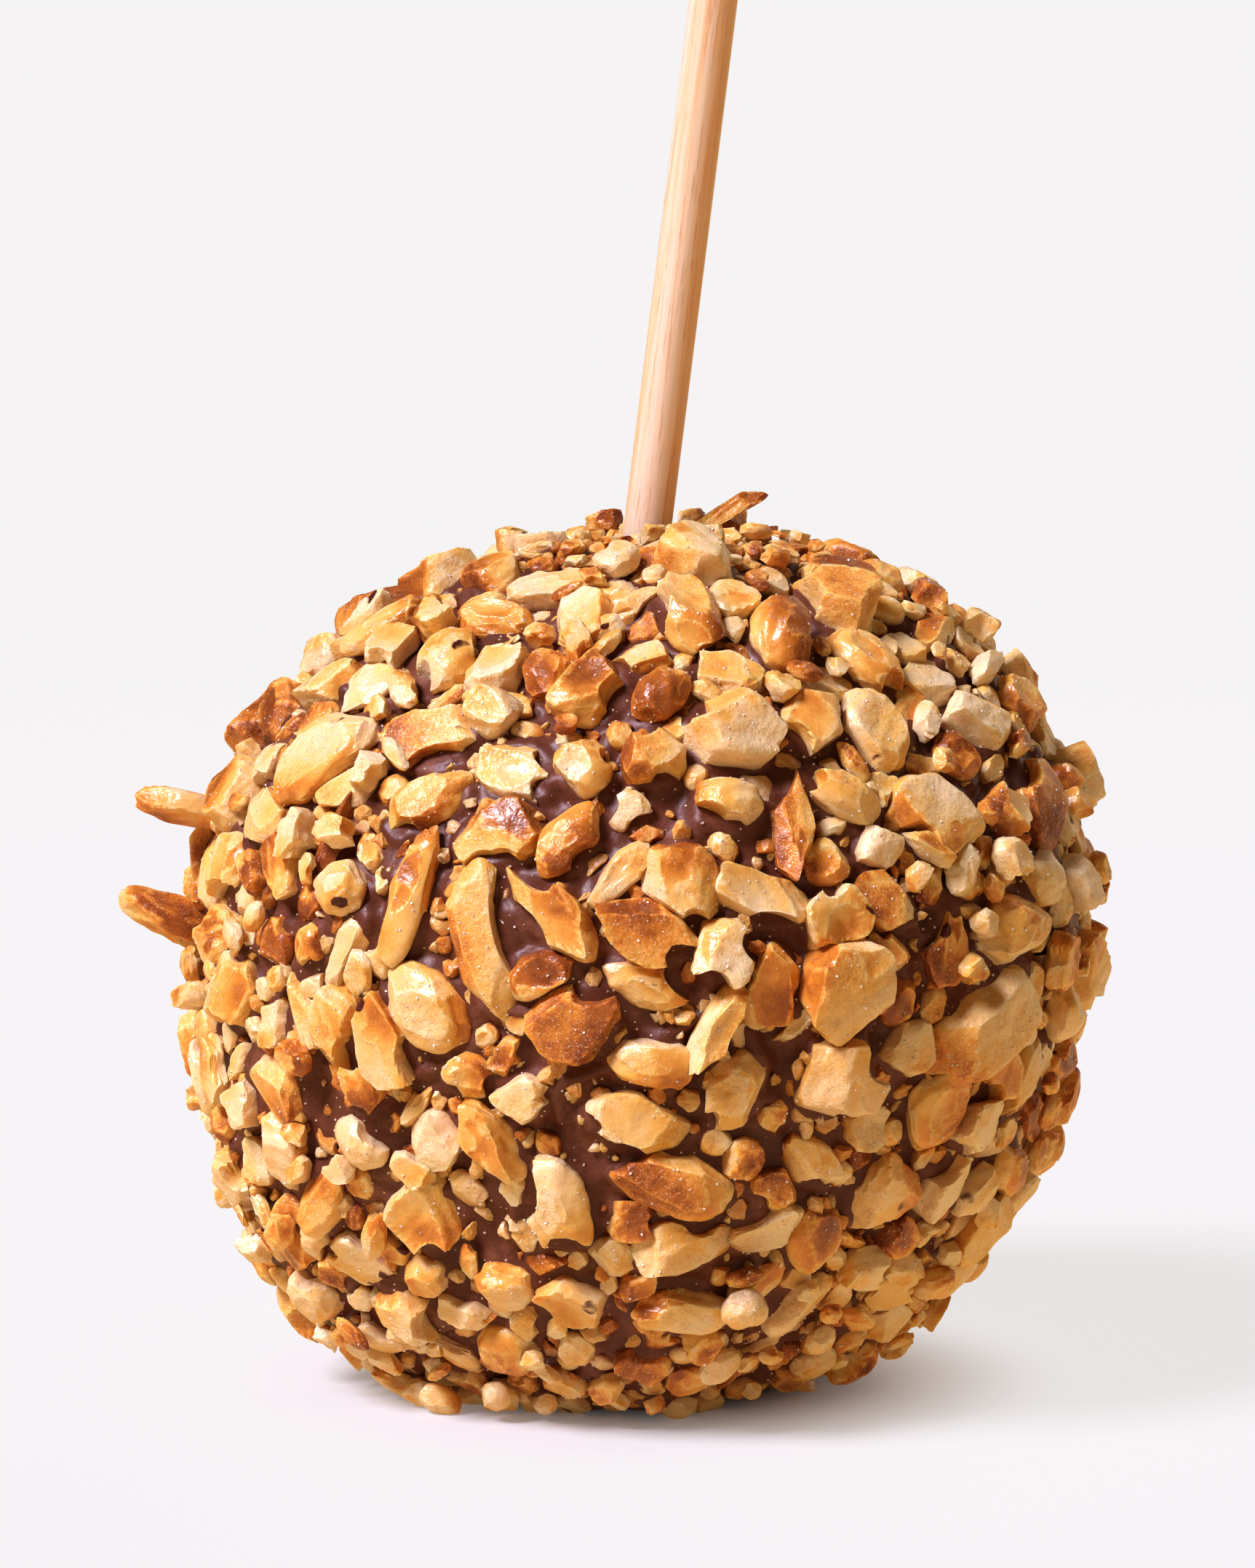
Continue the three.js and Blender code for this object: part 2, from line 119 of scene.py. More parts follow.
def coat_normal(directions):
    """Which way the coat faces there."""
    side = np.stack([-directions[:, 1], directions[:, 0], np.zeros(len(directions))], axis=1)
    side[np.linalg.norm(side, axis=1) < 1e-6] = (1, 0, 0)
    side = unit(side)
    over = np.cross(directions, side)
    across, along = (
        coat_point(unit(directions + NORMAL_STEP * way)) - coat_point(unit(directions - NORMAL_STEP * way))
        for way in (side, over)
    )
    return unit(np.cross(across, along))


right = np.array([[1.0, 0.0, 0.0]])
print("on the right the coat is at", np.round(coat_point(right)[0], 1), "mm and faces",
      np.round(coat_normal(right)[0], 2))

# %% [markdown]
# ## Where the peanut pieces lie
#
# Chopped peanuts could be thrown on by a physics simulation, but a seeded rule gives the same heap on every
# run. The solid model uses the same rule, so its larger pieces and these are the same pieces. For that, the
# random numbers have to be the same everywhere, so they come from a short formula. Each piece has a stream
# of its own, so that one more draw for a piece leaves the numbers of the others as they are.

# %% Random numbers
SEED_FACTOR = 2654435761
STREAM_FACTOR = 1664525
STREAM_STEP = 1013904223


def numbers(seed):
    """A stream of even random numbers from 0 to 1."""
    state = (seed + 1) * SEED_FACTOR % 2**32

    def draw():
        nonlocal state
        state = (state * STREAM_FACTOR + STREAM_STEP) % 2**32
        return state / 2**32

    for _ in range(3):
        draw()
    return draw


def some(draw, least, more):
    """A random number from the least one up to that and so much more."""
    return least + more * draw()


example = numbers(1)
print("a stream starts with", [round(example(), 3) for _ in range(4)])

# %% [markdown]
# The pieces come in three kinds: blocky chunks, flat slabs off the round back of a half, and long fingers.
# A piece's random numbers give its kind and size: the later its rank, the smaller it is. Pieces near the
# foot and round the stick are smaller too, since the large ones fall off there.

# %% Kinds and sizes
FIRST_SEED = 11
LARGEST_NUT = 11.2
SHRINK_RANK = 280
SHRINK_POWER = 0.8
VARIED = (0.85, 0.3)  # the least of a share of about 1, and how much more it may be
FOOT_SIZE = 0.8  # size of the pieces at the foot, as a share of those round the waist
CROWN_SIZE = 0.68  # and of the pieces round the stick
FOOT_ZONE = (0.6, 0.95)  # how far down they start to get smaller, and are smallest
CROWN_ZONE = (0.8, 0.95)  # and how far up
SOLID_NUTS = 335  # as many as the solid model has
ALL_NUTS = 1620
KINDS = {
    "chunk": {"share": 0.56, "width": 0.82, "thickness": 0.74, "longer": 1.0},
    "slab": {"share": 0.3, "width": 0.68, "thickness": 0.5, "longer": 1.15},
    "finger": {"share": 0.14, "width": 0.42, "thickness": 0.85, "longer": 1.3},
}


def half_sizes(rank, draw):
    """The kind and the half sizes of the piece of a rank: later ranks are smaller."""
    pick = draw()
    kind = "chunk"
    for name, shape in KINDS.items():
        pick -= shape["share"]
        if pick < 0:
            kind = name
            break
    shape = KINDS[kind]
    length = LARGEST_NUT * shape["longer"] * (1 + rank / SHRINK_RANK) ** -SHRINK_POWER
    width = length * shape["width"] * some(draw, *VARIED)
    thickness = width * shape["thickness"] * some(draw, *VARIED)
    return kind, np.array([length / 2, width / 2, thickness / 2])


def smooth_step(x, low, high):
    """0 under low, 1 over high, and smooth between them."""
    share = np.clip((x - low) / (high - low), 0, 1)
    return share**2 * (3 - 2 * share)


def size_share(z):
    """How large the pieces are at a height, as a share: they get smaller near the foot and the crown."""
    return 1 - (1 - FOOT_SIZE) * smooth_step(-z, *FOOT_ZONE) - (1 - CROWN_SIZE) * smooth_step(z, *CROWN_ZONE)


for rank in (30, SOLID_NUTS - 1, ALL_NUTS - 1):
    kind, half = half_sizes(rank, numbers(FIRST_SEED + rank))
    print("piece", rank, "is a", kind, "of", np.round(2 * half, 1), "mm")

# %% [markdown]
# The pieces that catch the eye come first, each listed with two angles for their place, one for the turn
# of their long side, their three sizes, how much higher than usual they sit, and how far they tip up. The
# last column is their tone, from 0 for raw cream to 1 for dark toasted. A second list gives small patches of
# the coat where no small piece may lie, because the chocolate shows there.

# %% The pieces that catch the eye
MARKED_NUTS = [
    # across, up, turn, (length, width, thickness), lift, tip, tone
    (-30, 4.5, 76, (13.6, 4.6, 3), 0.2, 0, 0.54),
    (-19.5, -1, 101, (14.2, 6, 3.2), 0.4, 0, 0.48),
    (-27, -9, 142, (11.2, 6.8, 4), 0.3, 0, 0.4),
    (-11.5, 3, 135, (10.4, 5, 3.8), 0, 0, 0.45),
    (0, 1, 150, (10.6, 5.4, 4.4), 0.3, 0, 0.62),
    (9, -1.5, 5, (7, 5.8, 5), 0.8, 0, 0.2),
    (0, -5, 155, (9.2, 4.8, 3), 0.2, 0, 0.35),
    (-9, -10, 15, (9, 7, 4), 0.2, 0, 0.66),
    (-12.5, -4.5, 15, (7, 5, 4), 0, 0, 0.5),
    (1, -15, 170, (8.6, 5.6, 4.4), 0, 0, 0.3),
    (8.5, -10.5, 58, (9.4, 3.6, 3.2), 1.8, 0, 0.54),
    (10.5, -18.5, 60, (7.6, 5.4, 3.4), 0, 0, 0.25),
    (-1, -22, 172, (9.6, 5.6, 3.8), 0.3, 0, 0.25),
    (24.5, -6.5, 80, (9.4, 8.6, 6), 0.8, 0, 0.3),
    (14.5, -6, 110, (8.6, 6.8, 3.6), 0, 0, 0.38),
    (24, -17, 80, (8.8, 8, 5.4), 0.5, 0, 0.28),
    (48, -12, 30, (15, 8, 5.4), 0.6, 0, 0.52),
    (-53, 21, 40, (14, 9, 4), 0.5, 0, 0.35),
    (3, -29, 158, (12.4, 6.4, 4.6), 0.4, 0, 0.6),
    (-19, 12, 10, (9, 6, 4), 0, 0, 0.58),
    (36, -34, 85, (8.4, 8, 4), 0.3, 0, 0.5),
    (8, 46, 105, (12, 6.4, 5), 0.8, 0, 0.4),
    (25.5, 42, 60, (9.4, 6.8, 5.4), 0.6, 0, 0.62),
    (-33, -13, 115, (9.2, 7, 3.6), 0.2, 0, 0.3),
    (-84, -3.5, 90, (4.8, 5.6, 11), 1.3, 18, 0.62),
    (-84, 9.5, 90, (4.2, 5, 11), 1.4, -9, 0.36),
    (-62, 43, 60, (10, 4.2, 3.4), 1, 0, 0.5),
    (100, 77, 2, (8.8, 2.4, 1.8), 3.3, 30, 0.68),
    (80, -26, 70, (9, 5, 3.4), 1.4, 0, 0.66),
    (-10, 11.5, 50, (8.3, 4.8, 3.6), 0.2, 0, 0.52),
    (-30, 16, 40, (9.6, 5.6, 3.6), 0.2, 0, 0.52),
    (-39.5, 4.5, 20, (6.2, 5.6, 4.4), 0.6, 0, 0.1),
    (-18, 21, 160, (8.4, 5.8, 3.2), 0, 0, 0.36),
    (-8.5, 21, 110, (6, 5.4, 4.4), 0.3, 0, 0.28),
    (1, 22, 80, (5.6, 5.4, 4.6), 0.6, 0, 0.66),
    (10.5, 16, 160, (6.8, 5.6, 4.6), 0.6, 0, 0.34),
    (26, 17, 140, (9.4, 4.4, 4.2), 0.6, 0, 0.27),
    (4, 6.5, 105, (8.2, 6.6, 4), 0.3, 0, 0.45),
    (13.5, 5, 160, (9.4, 5.4, 3.8), 0.2, 0, 0.32),
    (23, 2, 60, (6.2, 5.8, 4.4), 0, 0, 0.36),
    (-8.5, 33, 70, (8.2, 7, 5), 0.4, 0, 0.55),
    (2.5, 31.5, 50, (7.8, 4.6, 4.2), 0.6, 0, 0.64),
    (13, 35, 150, (7, 4.8, 3), 0.4, 0, 0.08),
    (-58, 12.5, 25, (9.4, 7, 4), 0.2, 0, 0.26),
    (-32, -35.5, 60, (9.4, 7.4, 4.2), 0.2, 0, 0.36),
    (-21.5, -43.5, 0, (6.4, 5.8, 4.4), 0.2, 0, 0.5),
    (5.5, -46, 175, (9.8, 5.2, 3.6), 0.3, 0, 0.2),
    (-20, -25, 120, (8.2, 5.6, 4), 0.2, 0, 0.42),
    (-11.5, -32, 100, (10, 6.8, 4.2), 0.2, 0, 0.26),
    (41.5, -22.5, 80, (10, 8, 4), 0.2, 0, 0.5),
    (-40.5, -12, 100, (8.6, 6.4, 4), 0.2, 0, 0.38),
    (51, -1, 20, (9.4, 6, 4), 0.3, 0, 0.32),
    (-27, 38, 60, (7.4, 5.4, 4), 0.3, 0, 0.28),
    (-28, 57, 0, (10.4, 5.4, 3.4), 0.4, 0, 0.18),
    (42, 37, 100, (9.2, 6.2, 4.6), 0.4, 0, 0.46),
    (-67.5, 5, 30, (8.4, 7, 4), 0.2, 0, 0.24),
    (-38.5, 49, 175, (9, 4.6, 3.2), 0.4, 0, 0.5),
]
# Where the coat stays bare: across and up in degrees, and the radius in mm.
BARE_PATCHES = [
    (-29, -3, 3.4), (-22, -3.5, 3), (-15, 0.5, 2.6), (-8, -4.5, 4), (2, -10, 4.2), (-6, -15.5, 3.4),
    (-10, -20, 2.6), (-27, -16.5, 3.4), (14.5, -15, 3), (-6.5, -26, 3), (-21, -36, 2.6), (3, 15, 2.6),
    (-13, 17, 2.6), (-25, 22, 2.6), (-46, -21, 3), (-4, -50, 3),
]
print(len(MARKED_NUTS), "pieces are placed by hand, and", len(BARE_PATCHES), "patches stay bare")

# %% [markdown]
# A piece is a squat rounded block: a middle, three directions (long, wide, out) and three half sizes. It
# lies on the coat, turned about the way that the coat faces, then tipped, and sunk in a little. Rotation
# matrices would do this too, but here it is done for many places at once, with cross products.

# %% Places on the coat
SEAT_DEPTH = 0.58  # how high a middle sits over the coat, as a share of half the thickness


def turned(vectors, axes, angle):
    """Vectors turned about axes that are square to them."""
    return vectors * math.cos(angle) + np.cross(axes, vectors) * math.sin(angle)


def axes_at(normals, turns, tips):
    """The three directions of a piece: long, wide and out."""
    level = np.stack([-normals[:, 1], normals[:, 0], np.zeros(len(normals))], axis=1)
    level[np.linalg.norm(level, axis=1) < 1e-6] = (1, 0, 0)
    level = unit(level)
    rise = np.cross(normals, level)
    long = level * np.cos(turns)[:, None] + rise * np.sin(turns)[:, None]
    out = turned(normals, long, tips[0])
    wide = unit(np.cross(out, long))
    return np.stack([turned(long, wide, tips[1]), wide, turned(out, wide, tips[1])], axis=1)


def places(directions, turns, tips, halves, lift):
    """The middles and axes of one piece at several places on the coat."""
    normals = coat_normal(directions)
    middles = coat_point(directions) + normals * (SEAT_DEPTH * halves[:, 2:] + lift)
    return middles, axes_at(normals, turns, tips)


middles, axes = places(right, np.zeros(1), (0.0, 0.0), np.ones((1, 3)), 0.0)
print("a piece on the right sits at", np.round(middles[0], 1), "mm, and its long side lies along",
      np.round(axes[0, 0], 2))

# %% [markdown]
# How far a piece reaches towards a neighbour is a quick sum on its directions and half sizes, and so is the
# room between the two. The stick counts as a neighbour as well. Where a neighbour is too near, the piece is
# cut flat on that side, which keeps the pieces from running through each other and makes them look as
# packed as the real ones.

# %% Room between neighbours
SNUG = 0.93  # how much of its reach a piece needs for itself
CLEARANCE = 0.3  # between a piece and the stick
STICK_RADIUS = 4.76 / 2
STICK_ENTRY = np.array([0.9, 0.0, 83.0])
STICK_UP = unit(np.array([math.tan(math.radians(7.1)), -math.tan(math.radians(3)), 1.0]))


def reach_of(axes, halves, ways):
    """How far pieces reach from their middles, each in its own way."""
    parts = np.einsum("nij,nj->ni", axes, ways) / halves
    return SNUG / np.linalg.norm(parts, axis=1)


def rooms(heap, middles, axes, halves):
    """For each place and each neighbour near it: the place, the way, the room and the piece's reach."""
    along = (middles - STICK_ENTRY) @ STICK_UP
    to_stick = STICK_ENTRY + along[:, None] * STICK_UP - middles
    between = np.concatenate([to_stick[:, None], heap["middle"][None] - middles[:, None]], axis=1)
    distance = np.linalg.norm(between, axis=2)
    near = np.ones(distance.shape, dtype=bool)
    near[:, 1:] = distance[:, 1:] <= heap["half"][:, 0] + halves[:, :1]
    place, other = np.nonzero(near)
    distance = distance[place, other]
    ways = between[place, other] / distance[:, None]
    room = distance - STICK_RADIUS - CLEARANCE
    nuts = other > 0
    which = other[nuts] - 1
    room[nuts] = distance[nuts] - reach_of(heap["axes"][which], heap["half"][which], ways[nuts])
    return place, ways, room, reach_of(axes[place], halves[place], ways)


print("the stick leans", round(math.degrees(math.acos(STICK_UP[2])), 1), "degrees")

# %% [markdown]
# Chopping leaves four to six flat sides and a slanting top. Together with the cuts towards the neighbours
# and the table, those flats are most of the outline of a piece. They are kept as directions and distances
# in the piece's own half sizes, so that the same numbers fit any size.

# %% Cuts
NUT_GAP = 0.18
FEWEST_SIDES = 4
MORE_SIDES = 2.4
UNEVEN = 0.7  # how far a flat may turn from its even place
OUTWARD = 0.35  # share of the sides that slope the other way
FLAT = (0.74, 0.28)  # how far from the middle a flat cuts, least and more
LEAST_LEFT = 0.3  # of a piece's reach, whatever is near


def chopped(draw):
    """The flats that the chopping made: some sides, and the top."""
    sides = FEWEST_SIDES + math.floor(MORE_SIDES * draw())
    first = 2 * math.pi * draw()
    cuts = []
    for i in range(sides):
        around = first + 2 * math.pi * (i + UNEVEN * (draw() - 0.5)) / sides
        slope = UNEVEN * (draw() - OUTWARD)
        flat = math.cos(slope)
        cuts.append((flat * math.cos(around), flat * math.sin(around), math.sin(slope), some(draw, *FLAT)))
    cuts.append((UNEVEN * (draw() - 0.5), UNEVEN * (draw() - 0.5), 1.0, some(draw, *FLAT)))
    return cuts


def fitted(middle, axes, half, ways, room, reach):
    """The cuts towards what is too near, and towards the table."""
    close = room < reach
    distance = np.maximum(room[close] - NUT_GAP, LEAST_LEFT * reach[close])
    normals = (ways[close] @ axes.T) * half
    cuts = [(*normal, d) for normal, d in zip(normals, distance)]
    cuts.append((*(axes @ (0, 0, -1) * half), middle[2]))
    return cuts


print("a piece has about", len(chopped(numbers(0))), "flats of its own")

# %% [markdown]
# A listed piece is set on the coat straight from its row of the table. Its two angles give a direction,
# as on a globe: across from the middle of the front, and up from the waist.

# %% Set a piece by hand
def towards(across, up):
    """The direction at an angle across from the front and an angle up."""
    a, e = math.radians(across), math.radians(up)
    return np.array([math.sin(a) * math.cos(e), -math.cos(a) * math.cos(e), math.sin(e)])


def marked_nut(row):
    """A listed piece."""
    across, up, turn, size, lift, tip, tone = row
    half = np.array(size) / 2
    tips = (0.0, math.radians(tip))
    middles, axes = places(towards(across, up)[None], np.array([math.radians(turn)]), tips, half[None], lift)
    return {"kind": "marked", "half": half, "middle": middles[0], "axes": axes[0], "lift": lift,
            "tone": tone}


print("the first piece lies at", np.round(marked_nut(MARKED_NUTS[0])["middle"], 1), "mm")

# %% [markdown]
# A scattered piece draws some random places and keeps the roomiest. Spreading them evenly by a formula
# would look like a pattern, and trying only one place would leave holes. A large piece that finds too
# little room lies on top of the others. Past the last one of the solid model, the pieces are small: they
# try more places, they leave the bare patches free, and some lie in a second layer.

# %% Find the roomiest place
LEAST_HEIGHT = 0.9  # of a middle over the table
LEAST_ROOM = 0.62  # with less room than this, a large piece lies on top
STACK_LIFT = 2.1
LARGE_TRIES = 24
SMALL_TRIES = 60
SMALL_ROOM = 0.3  # a small piece with less room than this is left out
SECOND_LAYER = 0.3  # share of the small pieces that lie higher
LAYER_LIFT = (1.2, 1.2)  # how much higher, least and more
MOST_TIP = 0.5  # radians between the two ends of how a scattered piece may tip
FRONT = (0, -8)  # the middle of the front, across and up in degrees
FRONT_SHARE = 0.82  # nearer to the front than this, no piece lies in a second layer
NOWHERE = -9.0  # the room at a place where a piece may not go
BARE = np.array([towards(across, up) for across, up, _ in BARE_PATCHES])
BARE_SIZES = np.array([radius for _, _, radius in BARE_PATCHES]) / COAT_RADIUS


def scattered_nut(rank, draw, heap):
    """The roomiest of some random places, or None where there is none."""
    kind, most = half_sizes(rank, draw)
    tips = (MOST_TIP * (draw() - 0.5), MOST_TIP * (draw() - 0.5))
    small = rank >= SOLID_NUTS
    tries = np.array([(draw(), draw(), draw()) for _ in range(SMALL_TRIES if small else LARGE_TRIES)])
    z = 2 * tries[:, 0] - 1
    flat = np.sqrt(1 - z * z)
    around = 2 * math.pi * tries[:, 1]
    directions = np.stack([flat * np.cos(around), flat * np.sin(around), z], axis=1)
    turns = math.pi * tries[:, 2]
    halves = most * size_share(z)[:, None]
    lift = some(draw, *LAYER_LIFT) if small and draw() < SECOND_LAYER else 0.0
    middles, axes = places(directions, turns, tips, halves, lift)
    place, _, room, reach = rooms(heap, middles, axes, halves)
    share = np.ones(len(tries))
    np.minimum.at(share, place, room / reach)
    in_bare_patch = np.linalg.norm(directions[:, None] - BARE[None], axis=2) < BARE_SIZES
    share[in_bare_patch.any(axis=1) | (middles[:, 2] < LEAST_HEIGHT)] = NOWHERE
    if lift:
        share[directions @ towards(*FRONT) > FRONT_SHARE] = NOWHERE
    best = int(np.argmax(share))
    if small and share[best] < SMALL_ROOM:
        return None
    on_top = not small and share[best] < LEAST_ROOM
    if on_top:
        lift = STACK_LIFT
        middles, axes = places(directions, turns, tips, halves, lift)
    return {"kind": kind, "half": halves[best], "middle": middles[best], "axes": axes[best], "lift": lift,
            "tone": None, "on_top": on_top}


print("a large piece tries", LARGE_TRIES, "places and a small one", SMALL_TRIES)

# %% [markdown]
# Now the pieces go on one by one, the listed ones first and then the largest first. Each is cut
# towards the pieces that already lie there, so the order matters: a small one never cuts a large one.

# %% Lay all the pieces
def lay_nuts():
    """All the pieces, each with its cuts and its stream of random numbers."""
    nuts = []
    heap = {"middle": np.zeros((0, 3)), "axes": np.zeros((0, 3, 3)), "half": np.zeros((0, 3))}
    for rank in range(ALL_NUTS):
        marked = rank < len(MARKED_NUTS)
        draw = numbers(rank if marked else FIRST_SEED + rank)
        nut = marked_nut(MARKED_NUTS[rank]) if marked else scattered_nut(rank, draw, heap)
        if nut is None:
            continue
        middle, axes, half = nut["middle"], nut["axes"], nut["half"]
        _, ways, room, reach = rooms(heap, middle[None], axes[None], half[None])
        if nut.get("on_top"):
            ways, room, reach = ways[:0], room[:0], reach[:0]
        nut["cuts"] = chopped(draw) + fitted(middle, axes, half, ways, room, reach)
        nut["rank"] = rank
        nut["draw"] = draw
        nuts.append(nut)
        for key in heap:
            heap[key] = np.concatenate([heap[key], nut[key][None]])
    return nuts


nuts = lay_nuts()
print(len(nuts), "pieces laid, of which", sum(nut["rank"] >= SOLID_NUTS for nut in nuts), "small ones")

# %% [markdown]
# ## Meshes from arrays
#
# The round net below starts from the twenty triangles of an icosahedron and divides each side into the
# same number of steps, so all its triangles are nearly alike and it has no poles. One net serves the coat
# and every piece of peanut: only the number of steps differs.

# %% A round net
def round_net(steps):
    """Points of a ball of radius 1, and its triangles, facing out."""
    g = (1 + 5**0.5) / 2
    corners = np.array([(-1, g, 0), (1, g, 0), (-1, -g, 0), (1, -g, 0), (0, -1, g), (0, 1, g),
                        (0, -1, -g), (0, 1, -g), (g, 0, -1), (g, 0, 1), (-g, 0, -1), (-g, 0, 1)])
    sides = [(0, 11, 5), (0, 5, 1), (0, 1, 7), (0, 7, 10), (0, 10, 11), (1, 5, 9), (5, 11, 4),
             (11, 10, 2), (10, 7, 6), (7, 1, 8), (3, 9, 4), (3, 4, 2), (3, 2, 6), (3, 6, 8),
             (3, 8, 9), (4, 9, 5), (2, 4, 11), (6, 2, 10), (8, 6, 7), (9, 8, 1)]
    grid = [(i, j) for i in range(steps + 1) for j in range(steps + 1 - i)]
    index = {place: n for n, place in enumerate(grid)}
    shares = np.array([(steps - i - j, i, j) for i, j in grid]) / steps
    small = [(index[i, j], index[i + 1, j], index[i, j + 1]) for i, j in grid if i + j < steps]
    small += [(index[i + 1, j], index[i + 1, j + 1], index[i, j + 1]) for i, j in grid if i + j < steps - 1]
    points = np.concatenate([shares @ corners[list(side)] for side in sides])
    faces = np.concatenate([np.array(small) + n * len(grid) for n in range(len(sides))])
    keys = np.round(points * 1e5).astype(np.int64)
    _, first, merged = np.unique(keys, axis=0, return_index=True, return_inverse=True)
    return unit(points[first]), merged.reshape(-1)[faces]


for steps in (4, 8):
    print("a net of", steps, "steps has", len(round_net(steps)[1]), "triangles")

# %% [markdown]
# Two helpers make Blender meshes from points and faces and turn millimetres into metres. The second one also
# stores numbers with the points, which the materials read later.

# %% Mesh helpers
MM = 0.001


def add_mesh(name, points, faces):
    """A Blender object from points in millimetres."""
    mesh = bpy.data.meshes.new(name)
    mesh.from_pydata((points * MM).tolist(), [], faces)
    piece = bpy.data.objects.new(name, mesh)
    bpy.context.scene.collection.objects.link(piece)
    return piece


def make_piece(name, points, faces, **marks):
    """A mesh of triangles that stores numbers for the materials."""
    piece = add_mesh(name, points, faces.tolist())
    for mark, values in marks.items():
        store = piece.data.attributes.new(mark, "FLOAT", "POINT")
        store.data.foreach_set("value", values.astype(np.float32))
    piece.data.validate()
    return piece


print("the waist's middle is at", np.round(WAIST * MM, 4), "m")

# %% [markdown]
# ## The shape of a piece of peanut
#
# A chip of peanut is a bit of a round half with broken sides. Its outline, seen from its middle, is the
# nearest of many limits in each direction: the round back of the half, the flats of the chopping, and the
# hollow bites where crumbs broke out. The first step draws these facts at random for each chip.

# %% How a chip broke
EXTRA_FLATS = 2.2
STEEPEST_FLAT = 0.75
EXTRA_FLAT = (0.72, 0.3)  # its distance, least and more
BITE_CHANCES = (0.6, 0.3)  # of a first and a second bite from the sides
BITE_RADIUS = (0.3, 0.55)
BITE_DEPTH = 0.9  # the lower, the deeper
HOLLOW_CHANCE = 0.35  # of a hollow in the top
HOLLOW_UP = (1.5, 0.8)  # how high the middle of its ball lies
HOLLOW_FLOOR = (0.45, 0.3)  # how high its lowest point lies
DOME_CHANCE = 0.45  # of a round back
DOME = (0.94, 0.12)
NO_DOME = 1.5


def half_tall(nut):
    """True for a piece that stands out from the coat more than it lies on it."""
    return nut["half"][2] > nut["half"][1]


def break_up(nut):
    """How a chip broke: its extra flats, its bites and hollows, and its round back."""
    draw = nut["draw"]
    cuts = list(nut["cuts"])
    for _ in range(1 + math.floor(EXTRA_FLATS * draw())):
        up = STEEPEST_FLAT * draw()
        around = 2 * math.pi * draw()
        flat = math.sqrt(1 - up * up)
        cuts.append((flat * math.cos(around), flat * math.sin(around), up, some(draw, *EXTRA_FLAT)))
    bites = []
    for chance in BITE_CHANCES:
        around = 2 * math.pi * draw()
        radius = some(draw, *BITE_RADIUS)
        if draw() < chance:
            away = math.sqrt(BITE_DEPTH + radius**2)
            bites.append((away * math.cos(around), away * math.sin(around), radius))
    hollows = []
    if draw() < HOLLOW_CHANCE:
        up = some(draw, *HOLLOW_UP)
        aside = (UNEVEN * (draw() - 0.5), UNEVEN * (draw() - 0.5))
        hollows.append((*aside, up, up - some(draw, *HOLLOW_FLOOR)))
    nut["dome"] = some(draw, *DOME) if draw() < DOME_CHANCE or half_tall(nut) else NO_DOME
    nut["all_cuts"] = np.array(cuts)
    nut["bites"] = bites
    nut["hollows"] = hollows


for nut in nuts:
    break_up(nut)
for what in ("bites", "hollows"):
    print(sum(len(nut[what]) for nut in nuts), what)

# %% [markdown]
# No two sides of a chip are alike. Each gets waves of its own, so that it isn't quite flat, and a tone that
# is a little darker or paler than the next. Some sides are smooth, like the outside of a nut, and the others
# are broken. One end of each chip roasted most, and some chips have a blush.

# %% The sides of a chip
ROUND_SIDES = 3  # the outline, the top with the underside, and the round back are always smooth
SMOOTH_CHANCE = 0.35  # of another side that is smooth, not broken
ROAST_RISE = (0.6, 0.2)  # how far the end that roasted most may point up, and the share that points down
BLUSH_POWER = 1.5  # the higher, the fewer chips have much blush


def vary_sides(nut):
    """The waves, the smoothness and the tones of a chip's sides."""
    draw = nut["draw"]
    others = len(nut["all_cuts"]) + len(nut["bites"]) + len(nut["hollows"])
    count = ROUND_SIDES + others
    random = np.array([[draw() for _ in range(4)] for _ in range(count)])
    nut["wave_ways"] = unit(random[:, :3] - 0.5)
    nut["wave_starts"] = 2 * math.pi * random[:, 3]
    nut["smooth_sides"] = np.array([True] * ROUND_SIDES + [draw() < SMOOTH_CHANCE for _ in range(others)])
    nut["side_tones"] = np.array([draw() - 0.5 for _ in range(count)])
    most, down = ROAST_RISE
    nut["roast_way"] = unit(np.array([draw() - 0.5, draw() - 0.5, most * (draw() - down)]))
    nut["blush"] = draw() ** BLUSH_POWER


for nut in nuts:
    vary_sides(nut)
print(sum(int(nut["smooth_sides"].sum()) for nut in nuts), "smooth sides of",
      sum(len(nut["side_tones"]) for nut in nuts))

# %% [markdown]
# Each limit is written as 1 over how far it lets the chip reach, so the strongest is simply the largest.
# Cutting the same shapes with Boolean modifiers would be slow for more than a thousand chips. Here it is one
# array of numbers for each chip, one column for each limit. Slow and fast waves make the sides a little
# uneven and their edges ragged.

# %% The limits of a chip
CORNER_REACH = 1.1
DEEPEST = 0.2  # a bite or a hollow leaves at least this much
FACE_WAVES = 0.035
RAGGED_WAVES = 0.034
SLOW = 3.2  # how fast the slow waves come and go
FAST = 11


def ball_limit(toward, squared, beyond):
    """1 over how far the chip reaches before it meets a ball that is cut out of it."""
    inside = toward**2 - squared * beyond
    reach = (toward - np.sqrt(np.maximum(inside, 0))) / np.maximum(squared, 1e-9)
    return np.where((inside > 0) & (toward > 0), 1 / np.maximum(reach, DEEPEST), 0)


